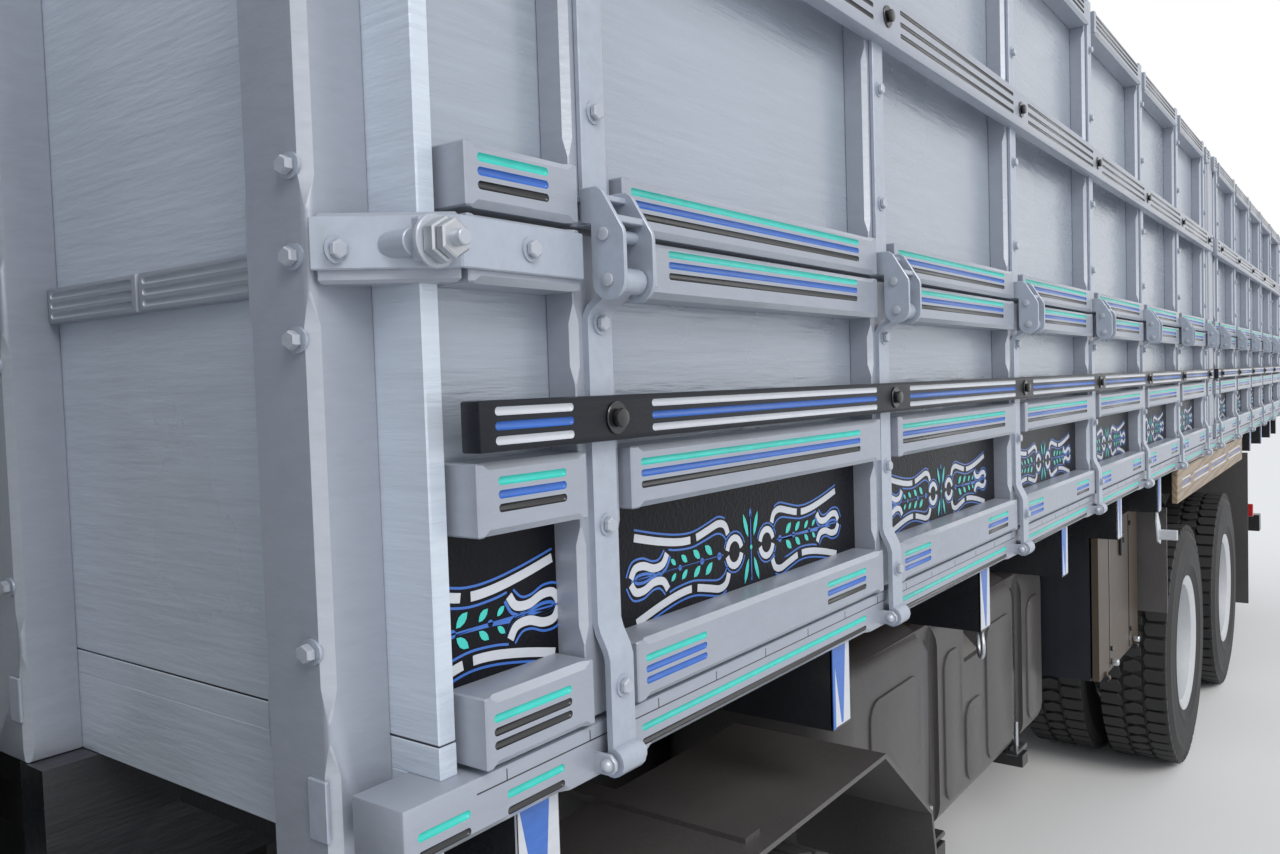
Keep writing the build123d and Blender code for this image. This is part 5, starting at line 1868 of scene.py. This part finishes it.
@dataclass
class Cab:
    """What completes the cab: panes' seals, grille, lamps, handles, wipers, mirrors, seats and dash."""

    size: Layout

    def hang(self, parts: Sequence[Piece], name: str, slot: str, body: str = "cab") -> None:
        """Join pieces of the truck's own space and hang them on a body."""
        mount(Bench.join(name, parts), body, slot)

    def box(self, name: str, stations: Point2, across: Point2, heights: Point2, finish: Finish,
            bevel: float = 0.0, steps: int = 1) -> Piece:
        """Block between stations.

        Args:
            name: Piece name.
            stations: Two stations.
            across: Two Y coordinates.
            heights: Two heights.
            finish: Paint.
            bevel: Width of the eased edges.
            steps: Segments of the eased edges.

        Returns:
            The block.
        """
        low = (self.size.at(max(stations)), min(across), min(heights))
        high = (self.size.at(min(stations)), max(across), max(heights))
        return Bench.block(name, low, high, finish, bevel, steps)

    def nose(self) -> None:
        """Grille bars, front lamps' lenses and wipers."""
        bars = [self.box("bar", (-2.706, -2.682), (-0.78, 0.78), (z, z + 0.026), CAB_PLASTIC, 0.006, 2)
                for z in (1.22, 1.275, 1.33, 1.385, 1.44, 1.495)]
        bars += [self.box("frame", (-2.700, -2.680), (-0.80, 0.80), (1.205, 1.535), CAB_PLASTIC, 0.006, 2)]
        at = self.size.at
        blade = at(-2.704)
        for side in (1, -1):
            foot, end = side * 0.16, side * 0.62
            bars.append(Bench.rod("wiper", (at(-2.716), foot, 1.915), (blade, end, 1.990), 0.007, CAB_PLASTIC,
                                  8))
            bars.append(Bench.rod("blade", (blade, side * 0.30, 1.985), (blade, side * 0.92, 1.985), 0.006,
                                  CAB_PLASTIC, 8))
            bars.append(Bench.rod("pivot", (at(-2.690), foot, 1.915), (at(-2.722), foot, 1.915), 0.014,
                                  CAB_PLASTIC, 12, 0.003))
        visor = [(at(-2.553), 2.800), (at(-2.700), 2.742), (at(-2.700), 2.730), (at(-2.556), 2.782)]
        bars.append(Bench.prism("visor", visor, -1.10, 1.10, CAB_PLASTIC, "Y", 0.003))
        self.hang(bars, "cab_nose", "cab_plastic")
        marks = [self.box("marker", (-2.485, -2.455), (y - 0.05, y + 0.05), (2.852, 2.905), LENS_AMBER,
                          0.006, 2)
                 for y in (-0.95, 0.0, 0.95)]
        self.hang(marks, "roof_markers", "lamp_glass")
        # Thin black sheets flush with the sides: painted shade in place of the hollow step wells.
        well_shades = [self.box("well", (-2.560, -2.120), (side * 1.2195, side * 1.2225), heights, BLACK, 0.001)
                 for side in (1, -1) for heights in ((0.560, 0.720), (0.770, 0.930))]
        self.hang(well_shades, "step_well_shades", "bumper_paint", "chassis")
        front, tail = ((-2.7315, -2.7290), (0.872, 0.950)), ((8.1895, 8.1915), (0.540, 0.620))
        kinds = (("lens", front, 0.775, 0.985, LENS), ("blinker", front, 0.995, 1.105, LENS_AMBER),
                 ("tail_red", tail, 0.875, 1.010, LENS_RED), ("tail_amber", tail, 1.020, 1.145, LENS_AMBER))
        lenses = [self.box(name, stations, (side * inner, side * outer), heights, finish, 0.001)
                  for side in (1, -1) for name, (stations, heights), inner, outer, finish in kinds]
        self.hang(lenses, "lenses", "lamp_glass", "chassis")

    def doors(self) -> None:
        """Door handles, window seals, panes and mirrors."""
        for side, name in ((1, "left"), (-1, "right")):
            parts = [self.box("handle", (-1.60, -1.49), (side * 1.222, side * 1.243), (1.80, 1.835),
                              CAB_PLASTIC, 0.006, 2),
                     self.box("recess", (-1.615, -1.475), (side * 1.2195, side * 1.2225), (1.785, 1.850),
                              CAB_PLASTIC, 0.001)]
            for low, high in (((-2.322, 1.918), (-1.538, 1.930)), ((-2.322, 2.690), (-1.538, 2.702)),
                              ((-2.332, 1.918), (-2.320, 2.702)), ((-1.540, 1.918), (-1.528, 2.702))):
                parts.append(self.box("seal", (low[0], high[0]), (side * 1.166, side * 1.2235),
                                      (low[1], high[1]), CAB_PLASTIC, 0.002))
            for heights in ((2.55, 2.575), (2.12, 2.145)):
                across = (side * 1.215, side * 1.285)
                parts.append(self.box("mirror_arm", (-2.36, -2.33), across, heights, CAB_PLASTIC, 0.006, 2))
            parts.append(self.box("mirror", (-2.385, -2.310), (side * 1.245, side * 1.331), (2.10, 2.60),
                                  CAB_PLASTIC, 0.022, 4))
            parts.append(self.box("mirror_glass", (-2.3105, -2.3085), (side * 1.258, side * 1.318),
                                  (2.13, 2.57), ZINC, 0.001))
            self.hang([Bench.smooth(p, 40) for p in parts], f"door_fittings_{name}", "cab_plastic",
                      f"door_{name}")
            pane = self.box("pane", (-2.320, -1.540), (side * 1.192, side * 1.197), (1.930, 2.690), GLASS)
            self.hang([pane], f"door_pane_{name}", "glass", f"door_{name}")

    def inside(self) -> None:
        """Instrument hood, dash ledge and gear lever."""
        hood = self.box("hood", (-2.60, -2.30), (0.36, 0.88), (1.889, 1.945), CAB_PLASTIC, 0.020, 3)
        panel = self.box("panel", (-2.275, -2.268), (0.40, 0.84), (1.70, 1.86), CAB_PLASTIC, 0.003)
        parts = [Bench.smooth(hood, 40), panel]
        for y, radius in ((0.50, 0.055), (0.62, 0.040), (0.74, 0.055)):
            parts.append(Bench.rod("dial", (self.size.at(-2.268), y, 1.79), (self.size.at(-2.262), y, 1.79),
                                   radius, WHITE, 28, 0.002))
        lever = Bench.rod("lever", (self.size.at(-1.90), 0.20, 1.178), (self.size.at(-1.93), 0.20, 1.62),
                          0.011, CAB_PLASTIC, 10)
        knob = Bench.rod("lever_knob", (self.size.at(-1.93), 0.20, 1.60), (self.size.at(-1.935), 0.20, 1.67),
                         0.026, CAB_PLASTIC, 16, 0.010, 3)
        self.hang([*parts, lever, Bench.smooth(knob, 60)], "cab_inside", "cab_plastic")

    def cushion(self, name: str, stations: Point2, across: Point2, heights: Point2, crown: str) -> None:
        """Crowned cushion of a seat.

        Args:
            name: Name of the piece.
            stations: Two stations.
            across: Two Y coordinates.
            heights: Two heights.
            crown: "Z" for a seat that swells upwards, "X" for a back that swells forwards.
        """
        made = self.box(name, stations, across, heights, FABRIC, 0.040, 4)
        with Bench.editing(made, "FACE"):
            bpy.ops.mesh.select_all(action="SELECT")
            bpy.ops.mesh.subdivide(number_cuts=3)
        low = [min(v.co[i] for v in made.data.vertices) for i in range(3)]
        high = [max(v.co[i] for v in made.data.vertices) for i in range(3)]
        axis = 2 if crown == "Z" else 0
        others = [i for i in range(3) if i != axis]
        with Bench.editing(made) as mesh:
            for vertex in mesh.verts:
                share = (vertex.co[axis] - low[axis]) / (high[axis] - low[axis])
                bulge = 1.0
                for i in others:
                    bulge *= 1.0 - (2.0 * (vertex.co[i] - low[i]) / (high[i] - low[i]) - 1.0) ** 2
                vertex.co[axis] -= 0.030 * share * (1.0 - bulge)
            bmesh.update_edit_mesh(made.data)
        mount(Bench.smooth(made, 60), "cab", "seat_fabric", "seats")

    def build(self) -> None:
        """Build the cab's pieces."""
        self.nose()
        self.doors()
        self.inside()
        for side, name in ((1, "left"), (-1, "right")):
            across = (side * 0.62 - 0.26, side * 0.62 + 0.26)
            self.cushion(f"seat_cushion_{name}", (-1.950, -1.420), across, (1.1803, 1.600), "Z")
            back = (side * 0.62 - 0.25, side * 0.62 + 0.25)
            self.cushion(f"seat_back_{name}", (-1.520, -1.400), back, (1.575, 2.330), "X")


HEAD_X = 3.0055

NODE_FINISHES = {
    "axles": CHASSIS_BLACK, "body_brackets": CHASSIS_BLACK, "chassis_frame": CHASSIS_BLACK,
    "cross_members": CHASSIS_BLACK, "leaf_springs": CHASSIS_BLACK, "tank_straps": CHASSIS_BLACK,
    "knuckle_1_left": CHASSIS_BLACK, "knuckle_1_right": CHASSIS_BLACK,
    "knuckle_2_left": CHASSIS_BLACK, "knuckle_2_right": CHASSIS_BLACK,
    "engine": ENGINE_IRON, "bumper": CAB_WHITE, "lamps": CAB_PLASTIC, "mudguards": MOULDED,
    # The locker flap's beige is a painted reflection of the ground.
    "locker": NIGHT_STEEL, "locker_flap": FLAP_GROUND_REFLECTION,
    "cross_timbers": TIMBER_BLACK, "long_timbers": TIMBER_BLACK, "stake_posts": SILVER,
    "cab_back": CAB_WHITE, "cab_door_left": CAB_WHITE, "cab_door_right": CAB_WHITE, "cab_floor": CAB_PLASTIC,
    "cab_front": CAB_WHITE, "cab_roof": CAB_WHITE, "steering_wheel": CAB_PLASTIC, "windscreen": GLASS,
}


def dress_nodes(frame: dict) -> None:
    """Paint the CAD nodes.
    """
    for name, obj in frame["nodes"].items():
        obj.data.materials.clear()
        obj.data.materials.append(NODE_FINISHES.get(name, CHASSIS_BLACK).material())


def eased(frame: dict, name: str, body: str, slot: str, width: float, degrees: float = 40.0) -> None:
    """Copy a CAD node, ease its edges, and let the copy stand for the node.

    Args:
        name: Name of the node.
        body: Body that it moves with.
        slot: Material slot.
        width: Width of the eased edges.
        degrees: Edges sharper than this are eased.
    """
    made = Bench.copy(frame["nodes"][name], (0.0, 0.0, 0.0), f"{name}_eased")
    for key in [key for key in made.keys() if key.startswith("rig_")]:
        del made[key]
    with Bench.editing(made):
        bpy.ops.mesh.select_all(action="SELECT")
        bpy.ops.mesh.remove_doubles(threshold=0.00005)
    Bench.take(made)
    ease = made.modifiers.new("ease", "BEVEL")
    ease.width, ease.segments, ease.limit_method, ease.angle_limit = width, 2, "ANGLE", math.radians(degrees)
    ease.use_clamp_overlap = True
    bpy.ops.object.modifier_apply(modifier=ease.name)
    mount(Bench.smooth(made, 35), body, slot, name)


@dataclass
class Studio:
    """Pale floor, soft lamps, white background and the camera."""

    size: Layout
    lens: float = 1005.8 / 1280 * 36
    yaw: float = 36.47              # degrees from straight backwards towards the right side
    pitch: float = 2.38
    roll: float = -1.817
    ahead: float = 0.60             # of the headboard
    beside: float = 1.9127
    height: float = 1.743

    def camera(self) -> None:
        """Camera at the photograph's place and angle."""
        yaw, pitch, roll = (math.radians(v) for v in (self.yaw, self.pitch, self.roll))
        look = Vector((-math.cos(yaw) * math.cos(pitch), -math.sin(yaw) * math.cos(pitch), -math.sin(pitch)))
        side = Vector((-math.sin(yaw), math.cos(yaw), 0.0))
        up = side.cross(look)
        right = side * math.cos(roll) + up * math.sin(roll)
        top = -side * math.sin(roll) + up * math.cos(roll)
        spot = Vector((self.size.head_x + self.ahead, self.beside, self.height))
        camera = bpy.data.objects.new("camera", bpy.data.cameras.new("camera"))
        bpy.context.scene.collection.objects.link(camera)
        camera.data.lens = self.lens
        camera.data.clip_start = 0.05
        camera.matrix_world = Matrix(((right.x, top.x, -look.x, spot.x), (right.y, top.y, -look.y, spot.y),
                                      (right.z, top.z, -look.z, spot.z), (0, 0, 0, 1)))
        bpy.context.scene.camera = camera

    def floor(self) -> None:
        """Plain pale floor that keeps the shadow."""
        Bench.clear()
        bpy.ops.mesh.primitive_plane_add(size=120.0)
        floor = bpy.context.object
        floor.name = "floor"
        tree = Tree("floor")
        tree.fill(tree.shader, "Base Color", (0.78, 0.78, 0.77, 1.0))
        tree.fill(tree.shader, "Roughness", 0.7)
        floor.data.materials.append(tree.material)

    def world(self) -> None:
        """Even sky light; the camera, gloss and glass see it white."""
        world = bpy.data.worlds.new("studio")
        bpy.context.scene.world = world
        world.use_nodes = True
        nodes, links = world.node_tree.nodes, world.node_tree.links
        sky = nodes["Background"]
        sky.inputs[0].default_value = (0.86, 0.91, 1.0, 1.0)
        sky.inputs[1].default_value = 0.76
        white = nodes.new("ShaderNodeBackground")
        white.inputs[0].default_value = (1.0, 1.0, 1.0, 1.0)
        white.inputs[1].default_value = 1.0
        path = nodes.new("ShaderNodeLightPath")
        seen = nodes.new("ShaderNodeMath")
        seen.operation = "MAXIMUM"
        links.new(path.outputs["Is Camera Ray"], seen.inputs[0])
        links.new(path.outputs["Is Transmission Ray"], seen.inputs[1])
        gloss = nodes.new("ShaderNodeMath")
        gloss.operation = "MAXIMUM"
        links.new(seen.outputs[0], gloss.inputs[0])
        links.new(path.outputs["Is Glossy Ray"], gloss.inputs[1])
        mix = nodes.new("ShaderNodeMixShader")
        links.new(gloss.outputs[0], mix.inputs[0])
        links.new(sky.outputs[0], mix.inputs[1])
        links.new(white.outputs[0], mix.inputs[2])
        links.new(mix.outputs[0], nodes["World Output"].inputs[0])

    def lamp(self, name: str, spot: Point3, aim: Point3, power: float, wide: float, tint: Colour) -> None:
        """Large soft lamp.

        Args:
            name: Its name.
            spot: Where it hangs.
            aim: What it points at.
            power: Watts.
            wide: Side of the lamp.
            tint: Its colour.
        """
        light = bpy.data.lights.new(name, "AREA")
        light.energy, light.size, light.color = power, wide, tint
        lamp = bpy.data.objects.new(name, light)
        bpy.context.scene.collection.objects.link(lamp)
        turn = (Vector(aim) - Vector(spot)).to_track_quat("-Z", "Y")
        lamp.matrix_world = Matrix.Translation(spot) @ turn.to_matrix().to_4x4()

    def sun(self) -> None:
        """Broad weak sun for the soft shadow."""
        light = bpy.data.lights.new("sun", "SUN")
        light.energy, light.angle, light.color = 1.45, 0.5, (1.0, 0.98, 0.95)
        lamp = bpy.data.objects.new("sun", light)
        bpy.context.scene.collection.objects.link(lamp)
        lamp.rotation_euler = (math.radians(-42.0), math.radians(24.0), 0.0)

    def build(self) -> None:
        """Set the scene."""
        self.floor()
        self.world()
        self.sun()
        self.lamp("side_lamp", (4.0, 11.0, 6.5), (0.5, 1.0, 1.5), 200.0, 6.0, (1.0, 0.99, 0.97))
        self.camera()
        bpy.context.scene.view_settings.view_transform = "Standard"


def main() -> None:
    """Load the model, dress every sub-assembly and report it."""
    logging.basicConfig(level=logging.INFO, format="%(message)s")
    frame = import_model()
    size = Layout(head_x=HEAD_X)
    iron, wood = Ironwork(size), Woodwork(size)
    Body(size, wood, iron).build()
    Underside(size, iron, wood).build()
    Wheels(size).build()
    Cab(size).build()
    iron.clear()
    wood.clear()
    dress_nodes(frame)
    for name, body, slot, width in (("cab_front", "cab", "cab_paint", 0.012),
                                    ("cab_back", "cab", "cab_paint", 0.012),
                                    ("cab_roof", "cab", "cab_paint", 0.012),
                                    ("bumper", "chassis", "bumper_paint", 0.02),
                                    ("stake_posts", "chassis", "silver_paint", 0.003)):
        eased(frame, name, body, slot, width)
    Studio(size).build()


if __name__ == "__main__":
    main()
